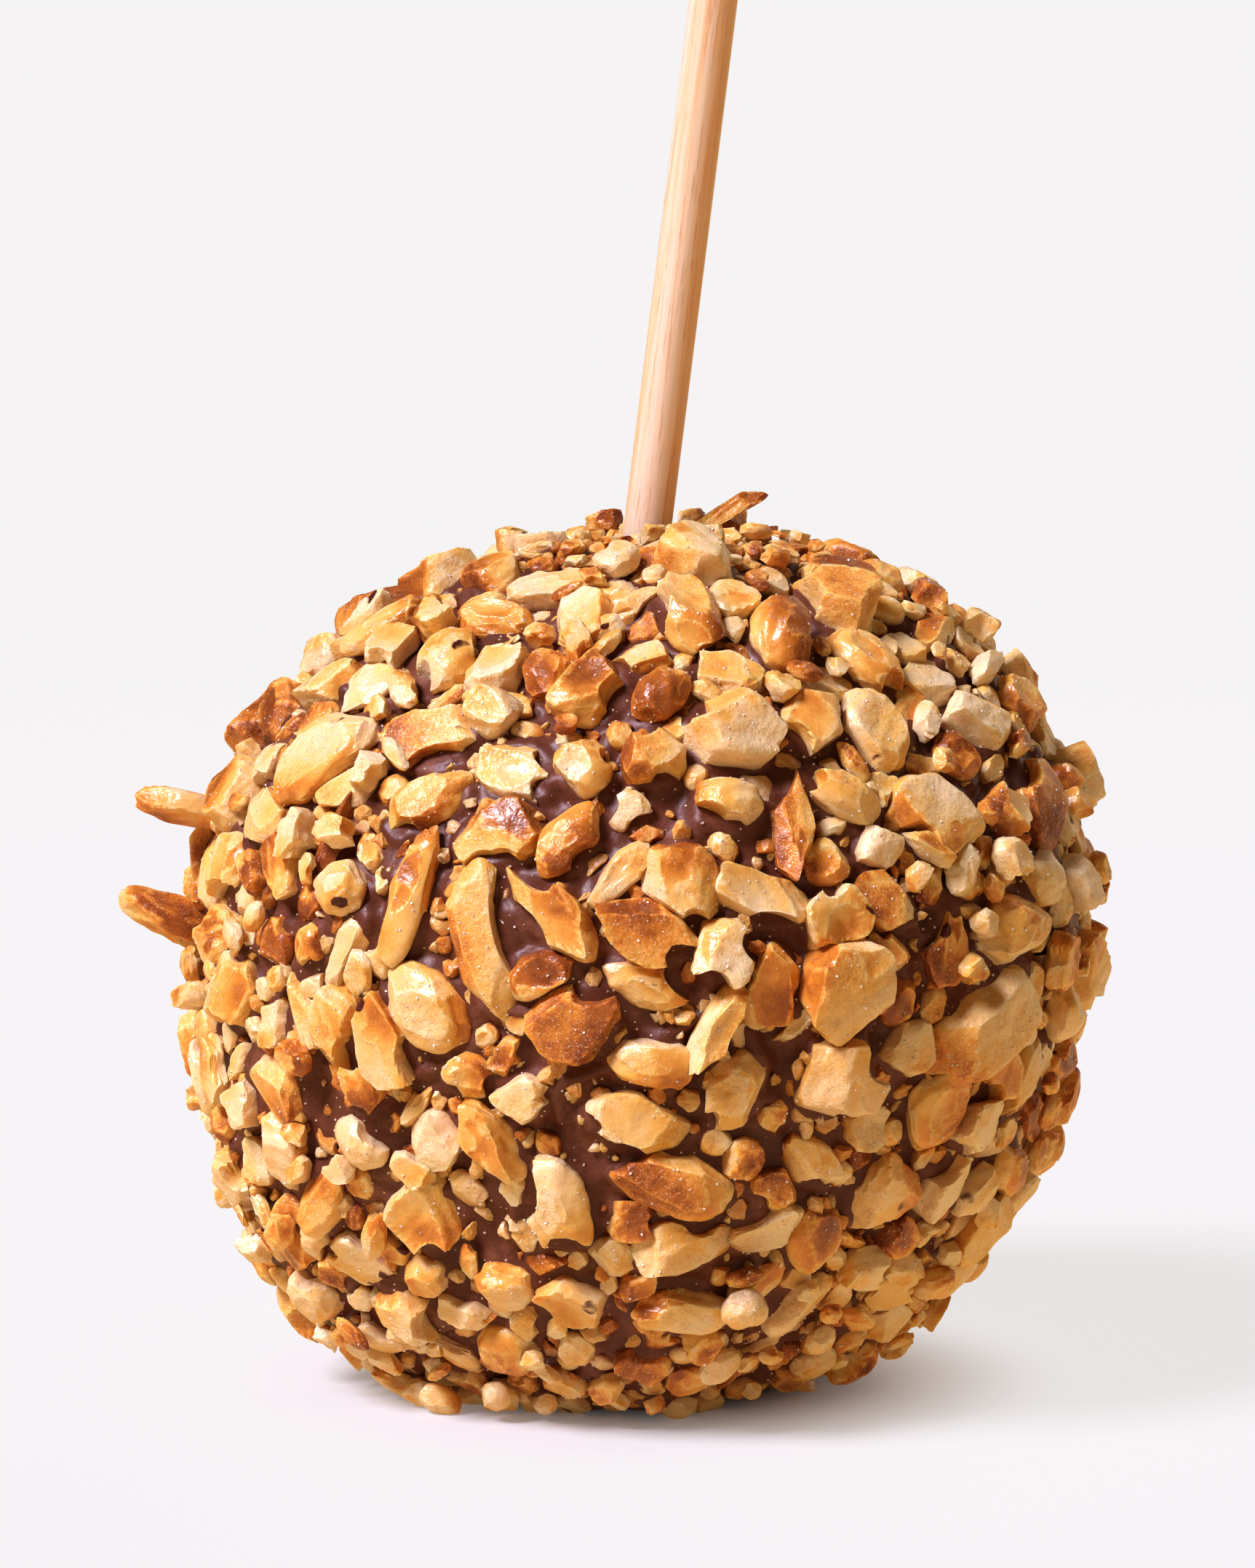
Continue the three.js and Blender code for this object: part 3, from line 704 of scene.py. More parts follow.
def limits(nut, directions):
    """1 over how far each limit lets the chip reach, for each direction."""
    flat = directions[:, :2]
    out = np.linalg.norm(flat, axis=1)
    length = np.linalg.norm(directions, axis=1)
    columns = [out / CORNER_REACH, abs(directions[:, 2]), length / nut["dome"]]
    cuts = nut["all_cuts"]
    columns += list((directions @ cuts[:, :3].T / cuts[:, 3]).T)
    for x, y, radius in nut["bites"]:
        columns.append(ball_limit(flat @ (x, y), out**2, x * x + y * y - radius**2))
    for x, y, z, radius in nut["hollows"]:
        columns.append(ball_limit(directions @ (x, y, z), length**2, x * x + y * y + z * z - radius**2))
    slow = np.sin(SLOW * directions @ nut["wave_ways"].T + nut["wave_starts"])
    ragged = np.sin(FAST * directions @ nut["wave_ways"][::-1].T + nut["wave_starts"])
    return np.maximum(np.stack(columns, axis=1), 0) * (1 + FACE_WAVES * slow + RAGGED_WAVES * ragged)


print("the first chip has", limits(nuts[0], np.eye(3)).shape[1], "limits")

# %% [markdown]
# Where two limits meet, the chip has an edge. A round net doesn't run along those edges, and would show
# them as saw teeth. A much finer net would hide the teeth, at the price of many triangles. Instead, net
# points near an edge are moved onto it: a short step against the difference of the two limits, as in
# Newton's way of finding a root. After that the broken edges are clear with few triangles.

# %% Move net points onto the edges
ODD_WAY = (0.31, 0.57, 0.76)  # hardly any net point lies that way
EDGE_ROUNDS = 2
SMALL_STEP = 0.01


def strongest(values):
    """Which two limits are strongest, for each direction."""
    order = np.argsort(values, axis=1)
    return order[:, -1], order[:, -2]


def onto_edges(nut, net, step):
    """The net with its points near an edge moved onto it."""
    side = unit(np.cross(net, ODD_WAY))
    over = np.cross(net, side)
    rows = np.arange(len(net))
    for _ in range(EDGE_ROUNDS):
        values = limits(nut, net)
        first, second = strongest(values)
        gap = values[rows, first] - values[rows, second]
        slopes = []
        for way in (side, over):
            beyond = limits(nut, net + SMALL_STEP * way)
            slopes.append((beyond[rows, first] - beyond[rows, second] - gap) / SMALL_STEP)
        steep = np.maximum(slopes[0] ** 2 + slopes[1] ** 2, 1e-6)
        move = -(gap / steep)[:, None] * (slopes[0][:, None] * side + slopes[1][:, None] * over)
        near = np.linalg.norm(move, axis=1) < step
        net = unit(net + move * near[:, None])
    return net


print("strongest and second limit of 3, 1 and 2 are", *strongest(np.array([[3, 1, 2]])))

# %% [markdown]
# Roasting isn't even, so every scattered chip gets a tone of its own. A plain random number would give as
# many dark chips as golden ones. Stops say instead which share of the chips is at most how dark: mostly
# golden, some cream, some toasted, a few dark. A finger or a slab also bends more than a chunk, as it comes
# off the round side of a half.

# %% A tone and a bend for each chip
TONE_SHARES = (0.0, 0.2, 0.54, 0.83, 0.95, 1.0)
TONES = (0.02, 0.18, 0.38, 0.6, 0.74, 0.86)
CHUNK_BEND = 0.015
FLAT_BEND = 0.05
BENT_BACK = 0.35  # share of the chips that bend the other way
for nut in nuts:
    tone = float(np.interp(nut["draw"](), TONE_SHARES, TONES))
    if nut["tone"] is None:
        nut["tone"] = tone
    nut["bend"] = (nut["draw"]() - BENT_BACK) * (CHUNK_BEND if nut["kind"] == "chunk" else FLAT_BEND)
print("tones from", min(nut["tone"] for nut in nuts), "to", max(nut["tone"] for nut in nuts))

# %% [markdown]
# Broken peanut has no true flats, so noise dents each chip a little, in long soft waves and in short ones.
# It is Blender's own noise in space. A seed shifts its place, so that no two chips are dented alike.

# %% Soft waves
SHIFTS = ((7.3, 97), (3.1, 89), (1.7, 83))  # how far each seed shifts the noise, and where that starts again


def waves(points, seed, size):
    """Soft noise from -1 to 1 at points in millimetres, different for each seed."""
    shift = Vector([seed * further % span for further, span in SHIFTS])
    return np.array([noise.noise(Vector(p) / size + shift) for p in points])


for seed in (1, 2):
    print("at one place, the wave of seed", seed, "is", round(float(waves([(1, 2, 3)], seed, 4)[0]), 2))

# %% [markdown]
# Now a chip gets its form. Peanut is waxy, so its edges are a little rounded: the limits are blended by
# adding them at a high power, which rounds off exactly where two of them meet. The numbers stored with the
# points are for the material: the tone, which is paler at edges as a painted highlight and darker at the
# end that roasted most, the height over the coat, and whether a side is smooth or broken.

# %% The form of one chip
EDGE_POWER = 34  # the lower, the rounder the edges
EDGE_WIDTH = 0.03  # how nearly alike two limits are at an edge
LONG_WAVES = 0.06
LONG_SIZE = 0.9  # of a wave, as a share of the chip's size
SHORT_WAVES = 0.04
SHORT_SIZE = 0.3
TABLE_GAP = 0.02
# A painted highlight: chips are paler along their edges, as if the edges caught the light.
PAINTED_EDGE_HIGHLIGHT = 0.16
SMOOTH_DARKER = 0.1
BROKEN_PALER = 0.06
SIDE_TONES = 0.28  # how much the tone differs from side to side of a chip
ROAST_SLOPE = 0.28  # how much more toasted one end of a chip is than its middle
PATCHY_TONES = 0.16
MOST_TONE = 0.94
def nut_form(nut, net, step):
    """The points of a piece, and its tone, smoothness, height and blush there."""
    half, seed = nut["half"], nut["rank"]
    net = onto_edges(nut, net, step)
    values = limits(nut, net)
    first, second = strongest(values)
    rows = np.arange(len(net))
    edge = np.clip(1 - (1 - values[rows, second] / values[rows, first]) / EDGE_WIDTH, 0, 1)
    strength = (values**EDGE_POWER).sum(axis=1) ** (1 / EDGE_POWER)
    local = net / strength[:, None] * half
    size = float(half.mean())
    long_waves = waves(local, seed, LONG_SIZE * size)
    short_waves = waves(local, seed + 0.5, SHORT_SIZE * size)
    local *= (1 + LONG_WAVES * long_waves + SHORT_WAVES * short_waves)[:, None]
    local[:, 2] -= nut["bend"] * local[:, 0] ** 2
    smooth = nut["smooth_sides"][first]
    tone = nut["tone"] + SIDE_TONES * nut["side_tones"][first]
    tone += np.where(smooth, SMOOTH_DARKER, -BROKEN_PALER)
    # Paler along the edges is a painted highlight.
    tone += PATCHY_TONES * long_waves - PAINTED_EDGE_HIGHLIGHT * edge + ROAST_SLOPE * net @ nut["roast_way"]
    points = nut["middle"] + local @ nut["axes"]
    points[:, 2] = np.maximum(points[:, 2], TABLE_GAP)
    away = points - WAIST
    height = np.linalg.norm(away, axis=1) - coat_radius(unit(away))
    blush = np.full(len(net), nut["blush"])
    return points, np.clip(tone, 0, MOST_TONE), smooth * (1 - edge), height, blush


coarse, *_ = nut_form(nuts[0], round_net(5)[0], 0.1)
print("on a coarse net, the first chip is", np.round(np.ptp(coarse, axis=0), 1), "mm across")

# %% [markdown]
# The pieces are joined into a few meshes, one for each kind and size, because Blender is slow with a
# thousand objects and fast with a few large ones. The longer a piece is, the finer its net, and the listed
# pieces get the finest, since they are looked at most. Most of a piece that shows is its top, so the net is
# pulled upwards a little before it is shaped. Edges steeper than an angle stay sharp in the shading.

# %% Make the peanut pieces
NET_STEPS = 0.9
NET_STEPS_PER_MM = 0.72
MARKED_STEPS = 4  # more for the listed pieces
NET_PULL = 0.3
EDGE_STEP = 0.42  # how far a point may go to an edge, as a share of the net's first step
SHARP_ANGLE = 34  # degrees
pulled_nets = {}


def net_for(nut):
    """The net for a chip: its steps, points and triangles. A longer chip has a finer one."""
    steps = round(NET_STEPS + NET_STEPS_PER_MM * 2 * nut["half"][0])
    if nut["kind"] == "marked":
        steps += MARKED_STEPS
    if steps not in pulled_nets:
        net, faces = round_net(steps)
        pulled_nets[steps] = unit(net + np.array([0, 0, NET_PULL])), faces
    return steps, *pulled_nets[steps]


def join_nuts(name, chosen):
    """One mesh of all the chosen pieces."""
    parts = []
    all_faces = []
    made = 0
    for nut in chosen:
        steps, net, faces = net_for(nut)
        parts.append(nut_form(nut, net, EDGE_STEP / steps))
        all_faces.append(faces + made)
        made += len(net)
    points, tone, skin, height, blush = (np.concatenate(columns) for columns in zip(*parts))
    all_faces = np.concatenate(all_faces)
    piece = make_piece(name, points, all_faces, tone=tone, skin=skin, height=height, blush=blush)
    piece.data.shade_smooth()
    piece.data.set_sharp_from_angle(angle=math.radians(SHARP_ANGLE))
    print(name, len(chosen), "pieces,", len(all_faces), "triangles")
    return piece


peanut_pieces = [join_nuts("peanuts_by_hand", [nut for nut in nuts if nut["kind"] == "marked"])]
for kind in KINDS:
    same_kind = [nut for nut in nuts if nut["kind"] == kind]
    large = [nut for nut in same_kind if nut["rank"] < SOLID_NUTS]
    small = [nut for nut in same_kind if nut["rank"] >= SOLID_NUTS]
    peanut_pieces.append(join_nuts(f"peanut_{kind}s_large", large))
    peanut_pieces.append(join_nuts(f"peanut_{kind}s_small", small))

# %% [markdown]
# ## The chocolate coat
#
# The chocolate was soft when the peanuts were pressed in, so it was squeezed up round each piece, ran
# together in low ridges between them, and crept up the stick. A cloth or fluid simulation would be slow
# and hard to steer. Here every point of a fine round net starts on the coat's rule and is raised. The first
# rise is a short slope next to each piece. The same loop notes where the coat is bare, for the crumbs later.

# %% How the pieces raise the chocolate
SLOPE_WIDTH = 0.7
SLOPE_HEIGHT = 1.2
SLOPE_SHARE = 0.5  # of half a thin piece's thickness
SLOPE_REACH = 3.0  # no slope is looked for farther from a piece than this
OFF_COAT = 1.3  # a piece that is lifted more than this doesn't touch the chocolate


def coat_rise(points):
    """How much the chocolate is raised at points of the bare coat, and where it is bare."""
    rise = np.zeros(len(points))
    bare = np.ones(len(points))
    for nut in nuts:
        if nut["lift"] > OFF_COAT:
            continue
        half = nut["half"]
        near = np.nonzero(((points - nut["middle"]) ** 2).sum(axis=1) < (half[0] + SLOPE_REACH) ** 2)[0]
        if not len(near):
            continue
        local = (points[near] - nut["middle"]) @ nut["axes"].T / half
        cuts = np.array(nut["cuts"])
        terms = np.maximum(local @ cuts[:, :3].T / cuts[:, 3], 0)
        gauge = np.maximum(np.hypot(local[:, 0], local[:, 1]), terms.max(axis=1))
        away = (1 - 1 / np.maximum(gauge, 1e-3)) * np.linalg.norm(local * half, axis=1)
        slope = min(SLOPE_HEIGHT, SLOPE_SHARE * half[2]) * np.exp(-np.maximum(away, 0) / SLOPE_WIDTH)
        rise[near] = np.maximum(rise[near], slope)
        bare[near[away < 0]] = 0
    return rise, bare


front_rise, _ = coat_rise(coat_point(towards(*FRONT)[None]))
print("in the middle of the front the pieces raise the chocolate by", round(float(front_rise[0]), 2), "mm")

# %% [markdown]
# Thick folds show where the chocolate ran together. Noise can't put them in their places, so each is given
# as a short line, and falls off to both sides as a bell curve does.

# %% Folds of chocolate
FOLD_HEIGHT = 1.5
FOLD_WIDTH = 0.85  # from its crest to where it is a third as high
# Places along each fold, across and up in degrees.
FOLDS = [
    [(-12, -17.5), (-7, -16), (-2.5, -14), (3, -11), (10, -7.5)],
    [(-10, -16.5), (-11, -19), (-10.5, -21.5)],
    [(-29, -17), (-22, -14.5)],
    [(-20, -8.5), (-12, -9)],
    [(12.5, -11), (14.5, -15.5), (14, -18.5)],
    [(-17.5, -30), (-18, -34)],
    [(-1.5, -39), (4, -38.5)],
]


def fold_rise(directions):
    """How much the folds raise the chocolate, in each direction."""
    rise = np.zeros(len(directions))
    for fold in FOLDS:
        for first, last in zip(fold, fold[1:]):
            start = towards(*first)
            line = towards(*last) - start
            along = np.clip((directions - start) @ line / (line @ line), 0, 1)
            away = np.linalg.norm(directions - start - along[:, None] * line, axis=1) * COAT_RADIUS
            rise = np.maximum(rise, FOLD_HEIGHT * np.exp(-((away / FOLD_WIDTH) ** 2)))
    return rise


print(len(FOLDS), "folds, on a crest", round(float(fold_rise(towards(*FOLDS[0][0])[None])[0]), 2), "mm high")

# %% [markdown]
# The rest of the surface is too irregular to give by hand. Ridged noise makes the low creases and plain
# noise the lumps. A collar goes round the stick, where the chocolate crept up.

# %% Make the coat
COAT_STEPS = 95
RIDGE_HEIGHT = 0.8
RIDGE_SIZE = 6.0
RIDGE_START = 1.0  # the noise over this makes a ridge
RIDGE_SHAPE = (1.0, 2.1, 2, 1.0, 2.0)  # roughness, how much finer the second of 2 layers is, offset, gain
LUMP_HEIGHT = 1.2
LUMP_SIZE = 3.4
LUMP_LIMITS = (-0.1, 0.5)  # flat hollows, and flat tops
COLLAR_HEIGHT = 1.3
COLLAR_WIDTH = 0.9


def make_coat():
    """The coat as one closed mesh, which stores where it is bare."""
    net, faces = round_net(COAT_STEPS)
    smooth = coat_point(net)
    rise, bare = coat_rise(smooth)
    ridges = np.array([noise.ridged_multi_fractal(Vector(p) / RIDGE_SIZE, *RIDGE_SHAPE) for p in smooth])
    lumps = np.array([noise.noise(Vector(p) / LUMP_SIZE) for p in smooth])
    rise += RIDGE_HEIGHT * np.clip(ridges - RIDGE_START, 0, 1) + LUMP_HEIGHT * np.clip(lumps, *LUMP_LIMITS)
    rise = np.maximum(rise, fold_rise(net))
    along = (smooth - STICK_ENTRY) @ STICK_UP
    from_stick = np.linalg.norm(smooth - STICK_ENTRY - along[:, None] * STICK_UP, axis=1)
    rise += COLLAR_HEIGHT * np.exp(-np.maximum(from_stick - STICK_RADIUS, 0) / COLLAR_WIDTH)
    points = smooth + net * rise[:, None]
    points[:, 2] = np.maximum(points[:, 2], 0)
    coat = make_piece("chocolate_coat", points, faces, bare=bare)
    coat.data.shade_smooth()
    print("chocolate_coat", len(faces), "triangles, bare share", round(float(bare.mean()), 2))
    return coat


coat = make_coat()

# %% [markdown]
# ## Writing node trees
#
# Both materials and Geometry Nodes are trees of nodes. Placing them one by one in code gets long, so a
# small helper makes them. What a node gives out is a signal, which can be added, subtracted and multiplied
# like a number. Each of those makes the Math node that does it, so the sums below read as sums.

# %% A signal that takes part in sums
class Signal:
    """An output of a node that takes part in sums."""

    def __init__(self, tree, socket):
        self.tree = tree
        self.socket = socket

    def math(self, operation, *values):
        """What a Math node makes of these values."""
        return self.tree.node("ShaderNodeMath", {"operation": operation}, dict(enumerate(values)))

    def __add__(self, other):
        return self.math("ADD", self, other)

    def __sub__(self, other):
        return self.math("SUBTRACT", self, other)

    def __rsub__(self, other):
        return self.math("SUBTRACT", other, self)

    def __mul__(self, other):
        return self.math("MULTIPLY", self, other)

    __radd__ = __add__
    __rmul__ = __mul__

    def above(self, low, high):
        """0 under low, 1 over high, and smooth between them."""
        return self.tree.node("ShaderNodeMapRange", {"interpolation_type": "SMOOTHSTEP"},
                              {"Value": self, "From Min": low, "From Max": high})


print("besides sums, a signal has", ", ".join(name for name in vars(Signal) if name[0] != "_"))

# %% [markdown]
# The tree makes any node from its type, its settings and the values or links of its sockets. A few nodes
# that come up often have short names of their own: a mix of colours, a number stored with the mesh, noise,
# a sum on vectors and a bump.

# %% A node tree that is written as Python
class Tree:
    """A node tree that is written as Python."""

    def __init__(self, tree):
        self.tree = tree

    def node(self, kind, settings=None, inputs=None, output=0):
        """A new node. It gives one of the node's outputs, or the node where it has none."""
        made = self.tree.nodes.new(kind)
        for name, value in (settings or {}).items():
            if name == "stops":
                self.set_stops(made.color_ramp.elements, value)
            else:
                setattr(made, name, value)
        for name, value in (inputs or {}).items():
            self.feed(made.inputs[name], value)
        return Signal(self, made.outputs[output]) if len(made.outputs) else made

    def feed(self, socket, value):
        """A link, or a fixed value."""
        if isinstance(value, Signal):
            self.tree.links.new(value.socket, socket)
        else:
            socket.default_value = value

    def set_stops(self, elements, stops):
        """The stops of a colour ramp, as pairs of place and colour."""
        while len(elements) < len(stops):
            elements.new(1.0)
        for element, (place, colour) in zip(elements, stops):
            element.position = place
            element.color = colour

    def mix(self, factor, first, second, kind="MIX"):
        """Two colours mixed."""
        return self.node("ShaderNodeMix", {"data_type": "RGBA", "blend_type": kind},
                         {0: factor, 6: first, 7: second}, 2)

    def mark(self, name):
        """A number stored with the mesh."""
        return self.node("ShaderNodeAttribute", {"attribute_name": name}, None, "Fac")

    def place(self):
        """The object's own coordinates, in metres."""
        return self.node("ShaderNodeTexCoord", None, None, "Object")

    def noise(self, scale, detail=2.0, rough=0.5, place=None):
        """Cloudy noise from 0 to 1, in cycles per metre."""
        return self.node("ShaderNodeTexNoise", None, {
            "Vector": place or self.place(), "Scale": scale, "Detail": detail, "Roughness": rough})

    def vector(self, operation, inputs, output="Vector"):
        """A sum on vectors."""
        return self.node("ShaderNodeVectorMath", {"operation": operation}, inputs, output)

    def bump(self, strength, distance, height):
        """Fine relief that only the light sees."""
        return self.node("ShaderNodeBump", None, {
            "Strength": strength, "Distance": distance, "Height": height})


print("a tree can", ", ".join(name for name in vars(Tree) if name[0] != "_"))

# %% [markdown]
# Colours are given as a screen shows them, from 0 to 255. Shaders work in linear light, so the colours are
# turned into that. Each finish is one Principled shader. What is the same all over a surface is set on the
# shader's own sockets, and only what varies is linked to it.

# %% Colours and finishes
def colour(red, green, blue):
    """A colour from screen values of 0 to 255."""
    screen = np.array([red, green, blue]) / 255
    linear = np.where(screen < 0.04045, screen / 12.92, ((screen + 0.055) / 1.055) ** 2.4)
    return (*linear.tolist(), 1.0)


def new_finish(name, **constants):
    """A material, its tree and its shader, with fixed values set on the shader."""
    material = bpy.data.materials.new(name)
    material.use_nodes = True
    shader = material.node_tree.nodes["Principled BSDF"]
    for socket, value in constants.items():
        shader.inputs[socket.replace("_", " ")].default_value = value
    return material, Tree(material.node_tree), shader


def cover(tree, shader, paint, roughness, bump=None):
    """Link what varies over a surface to its shader."""
    for socket, value in (("Base Color", paint), ("Roughness", roughness), ("Normal", bump)):
        if value is not None:
            tree.feed(shader.inputs[socket], value)


print("cream in linear light is", np.round(colour(247, 236, 214)[:3], 3))

# %% [markdown]
# ## Peanut
#
# Peanut is cream inside, golden where it was roasted and brown where it was roasted most. One flat colour
# would look like plastic, and a painted image would have to be unwrapped onto more than a thousand chips.
# Here the stored tone picks the colour from a ramp, and clouds of noise shift the tone, since no chip is one
# even colour. On top come a fine grain, pale dust and small pits, mostly on the broken sides, and a few
# chips keep a dark spot of skin.

# %% The colours of roasted peanut
ROAST = [
    (0.0, colour(246, 226, 188)), (0.25, colour(245, 215, 157)), (0.48, colour(242, 199, 113)),
    (0.68, colour(228, 161, 72)), (0.84, colour(191, 120, 50)), (1.0, colour(150, 84, 38)),
]
WHITE = colour(255, 255, 255)
GRAIN = colour(196, 166, 124)
BLUSH = colour(250, 236, 214)
DUST = colour(254, 238, 212)
PIT = colour(206, 148, 92)
DARK_SKIN = colour(92, 38, 26)
PATCHY = 0.38  # how far large clouds shift the tone
MOTTLED = 0.5  # and how far small ones do
LESS_MOTTLED = 0.2  # how much less on smooth sides
GRAINY = 0.2  # how strong the grain is, and then the blush, the dust and the pits
BLUSHED = 0.35
DUSTED = 0.35
PITTED = 0.16
DUST_NOISE = (5200, 1, 0.5)  # cycles in a metre, detail and roughness
DUST_EDGE = (0.58, 0.68)  # the noise where dust starts, and is thick
LESS_DUST = 0.6  # how much less on smooth sides
SKIN_SPOTS = 130  # places for a spot in a metre
SKIN_SPOT = 0.12  # radius of a spot, as a share of the way to the next
UNEVEN_SPOT = 0.1
SPOT_EDGE = (0.0, 0.015)
SPOT_PATCHES = (0.42, 0.5)  # only where the large clouds are lower than this


def roasted_colour(tree, skin, patches, mottle, grain, pits):
    """The colour of a chip that lies clear of the chocolate."""
    mottled = (MOTTLED - LESS_MOTTLED * skin) * (mottle - 0.5)
    tone = tree.mark("tone") + PATCHY * (patches - 0.5) + mottled
    roast = tree.node("ShaderNodeValToRGB", {"stops": ROAST}, {"Fac": tone})
    grainy = tree.mix(GRAINY, roast, tree.mix(grain, GRAIN, WHITE), "MULTIPLY")
    blushed = tree.mix(BLUSHED * tree.mark("blush"), grainy, BLUSH, "MULTIPLY")
    dust = tree.noise(*DUST_NOISE).above(*DUST_EDGE) * (1 - LESS_DUST * skin)
    dusted = tree.mix(DUSTED * dust, blushed, DUST)
    pitted = tree.mix(PITTED * pits, dusted, PIT, "MULTIPLY")
    away = tree.node("ShaderNodeTexVoronoi", None, {
        "Vector": tree.place(), "Scale": SKIN_SPOTS}, "Distance")
    spot = (SKIN_SPOT + UNEVEN_SPOT * (mottle - 0.5) - away).above(*SPOT_EDGE)
    return tree.mix(spot * (1 - patches.above(*SPOT_PATCHES)), pitted, DARK_SKIN)


print("the tone has", len(ROAST), "stops, from cream", np.round(ROAST[0][1][:3], 2), "to brown",
      np.round(ROAST[-1][1][:3], 2))

# %% [markdown]
# Peanut is waxy: light goes in a little way and comes out warmer, so the shader gets some subsurface, and
# the smooth sides shine more than the broken ones. Low down between its neighbours a chip is painted darker,
# as painted shade, and where it meets the coat it is smeared with chocolate. The stored height over the coat
# places both.

# %% The finish of the peanuts
CHOCOLATE = colour(110, 64, 45)
# The colour that is multiplied in as painted shade low down between the chips.
SHADED = colour(206, 148, 90)
SHADE = (0.2, 1.5)  # mm over the coat where the painted shade is full, and where it ends
SHADE_STRENGTH = 0.8
SMEAR = (0.1, 0.7)  # the same for the smear
UNEVEN_SMEAR = 0.9
SMEAR_EDGE = (0.45, 0.6)
ROUGH = 0.42
SMOOTHER = 0.12  # how much less rough a smooth side is
UNEVEN_GLOSS = 0.4
PATCH_NOISE = (260, 2)  # cycles in a metre, detail, and roughness where it isn't 0.5
MOTTLE_NOISE = (900, 3, 0.6)
GRAIN_NOISE = (4200, 2, 0.6)
LUMP_NOISE = (2000, 2, 0.5)
PIT_NOISE = (2900, 2, 0.6)
PIT_EDGE = (0.57, 0.66)
LESS_PITTED = 0.7  # on smooth sides
FLATTER = 0.5  # how much less relief a smooth side has
PEANUT_BUMP = (0.6, 0.0004)  # strength, and depth in metres


def peanut_finish():
    """Waxy roasted peanut, for the chips and the crumbs."""
    material, tree, shader = new_finish(
        "roasted_peanut", Subsurface_Weight=0.4, Subsurface_Radius=(1.0, 0.6, 0.3), Subsurface_Scale=0.0016,
        Specular_IOR_Level=0.6,
    )
    skin = tree.mark("skin")
    patches, mottle, grain, lumps = (
        tree.noise(*kind) for kind in (PATCH_NOISE, MOTTLE_NOISE, GRAIN_NOISE, LUMP_NOISE))
    pits = tree.noise(*PIT_NOISE).above(*PIT_EDGE) * (1 - LESS_PITTED * skin)
    clear = roasted_colour(tree, skin, patches, mottle, grain, pits)
    height = tree.mark("height")
    # Painted shade: low down between its neighbours, near the coat, a chip is made darker.
    low = 1 - height.above(*SHADE)
    shaded = tree.mix(SHADE_STRENGTH * low, clear, SHADED, "MULTIPLY")
    smear = 1 - height.above(*SMEAR)
    smear = (smear + UNEVEN_SMEAR * (mottle - 0.5)).above(*SMEAR_EDGE)
    roughness = ROUGH - SMOOTHER * skin + UNEVEN_GLOSS * (mottle - 0.5)
    relief = (0.9 * mottle + 0.06 * grain + 0.35 * lumps - 0.1 * pits) * (1 - FLATTER * skin)
    cover(tree, shader, tree.mix(smear, shaded, CHOCOLATE), roughness, tree.bump(*PEANUT_BUMP, relief))
    return material


peanut = peanut_finish()
for piece in peanut_pieces:
    piece.data.materials.append(peanut)
print("roasted_peanut has", len(peanut.node_tree.nodes), "nodes")

# %% [markdown]
# ## Chocolate
#
# Set milk chocolate is satin: its highlights are soft but clear. Its colour hardly changes, apart from a
# slight bloom where it is paler, so most of its look is roughness and the small unevenness of its skin.

# %% The finish of the chocolate
BLOOM = colour(138, 90, 70)
BLOOM_EDGE = (0.45, 0.75)  # the noise where the bloom starts, and is full
CLOUD_NOISE = (300, 3, 0.55)
FINE_NOISE = (2600, 2, 0.5)
LEAST_ROUGH = 0.36
CLOUDY_ROUGH = 0.14  # how much more the clouds give
CHOCOLATE_BUMP = (0.35, 0.0004)


def chocolate_finish():
    """Satin milk chocolate with a slight bloom."""
    material, tree, shader = new_finish(
        "milk_chocolate", Subsurface_Weight=0.05, Subsurface_Radius=(1.0, 0.4, 0.2), Subsurface_Scale=0.001,
        Specular_IOR_Level=0.38,
    )
    clouds = tree.noise(*CLOUD_NOISE)
    fine = tree.noise(*FINE_NOISE)
    bloom = (clouds + 0.3 * (fine - 0.5)).above(*BLOOM_EDGE)
    relief = tree.bump(*CHOCOLATE_BUMP, clouds + 0.2 * fine)
    cover(tree, shader, tree.mix(bloom, CHOCOLATE, BLOOM), LEAST_ROUGH + CLOUDY_ROUGH * clouds, relief)
    return material


chocolate = chocolate_finish()
coat.data.materials.append(chocolate)
print("milk_chocolate has", len(chocolate.node_tree.nodes), "nodes")

# %% [markdown]
# ## Crumbs
#
# Between the chips lie crumbs, too many to place by hand. A particle system could strew them, but Geometry
# Nodes keep every step in sight and give the same crumbs on every run. The helper below runs any such tree
# on a piece and takes the result as a plain mesh of its own. Each input of the tree has a name, and the
# modifier's value for it is set by the socket's identifier, which stays the same if the name changes.

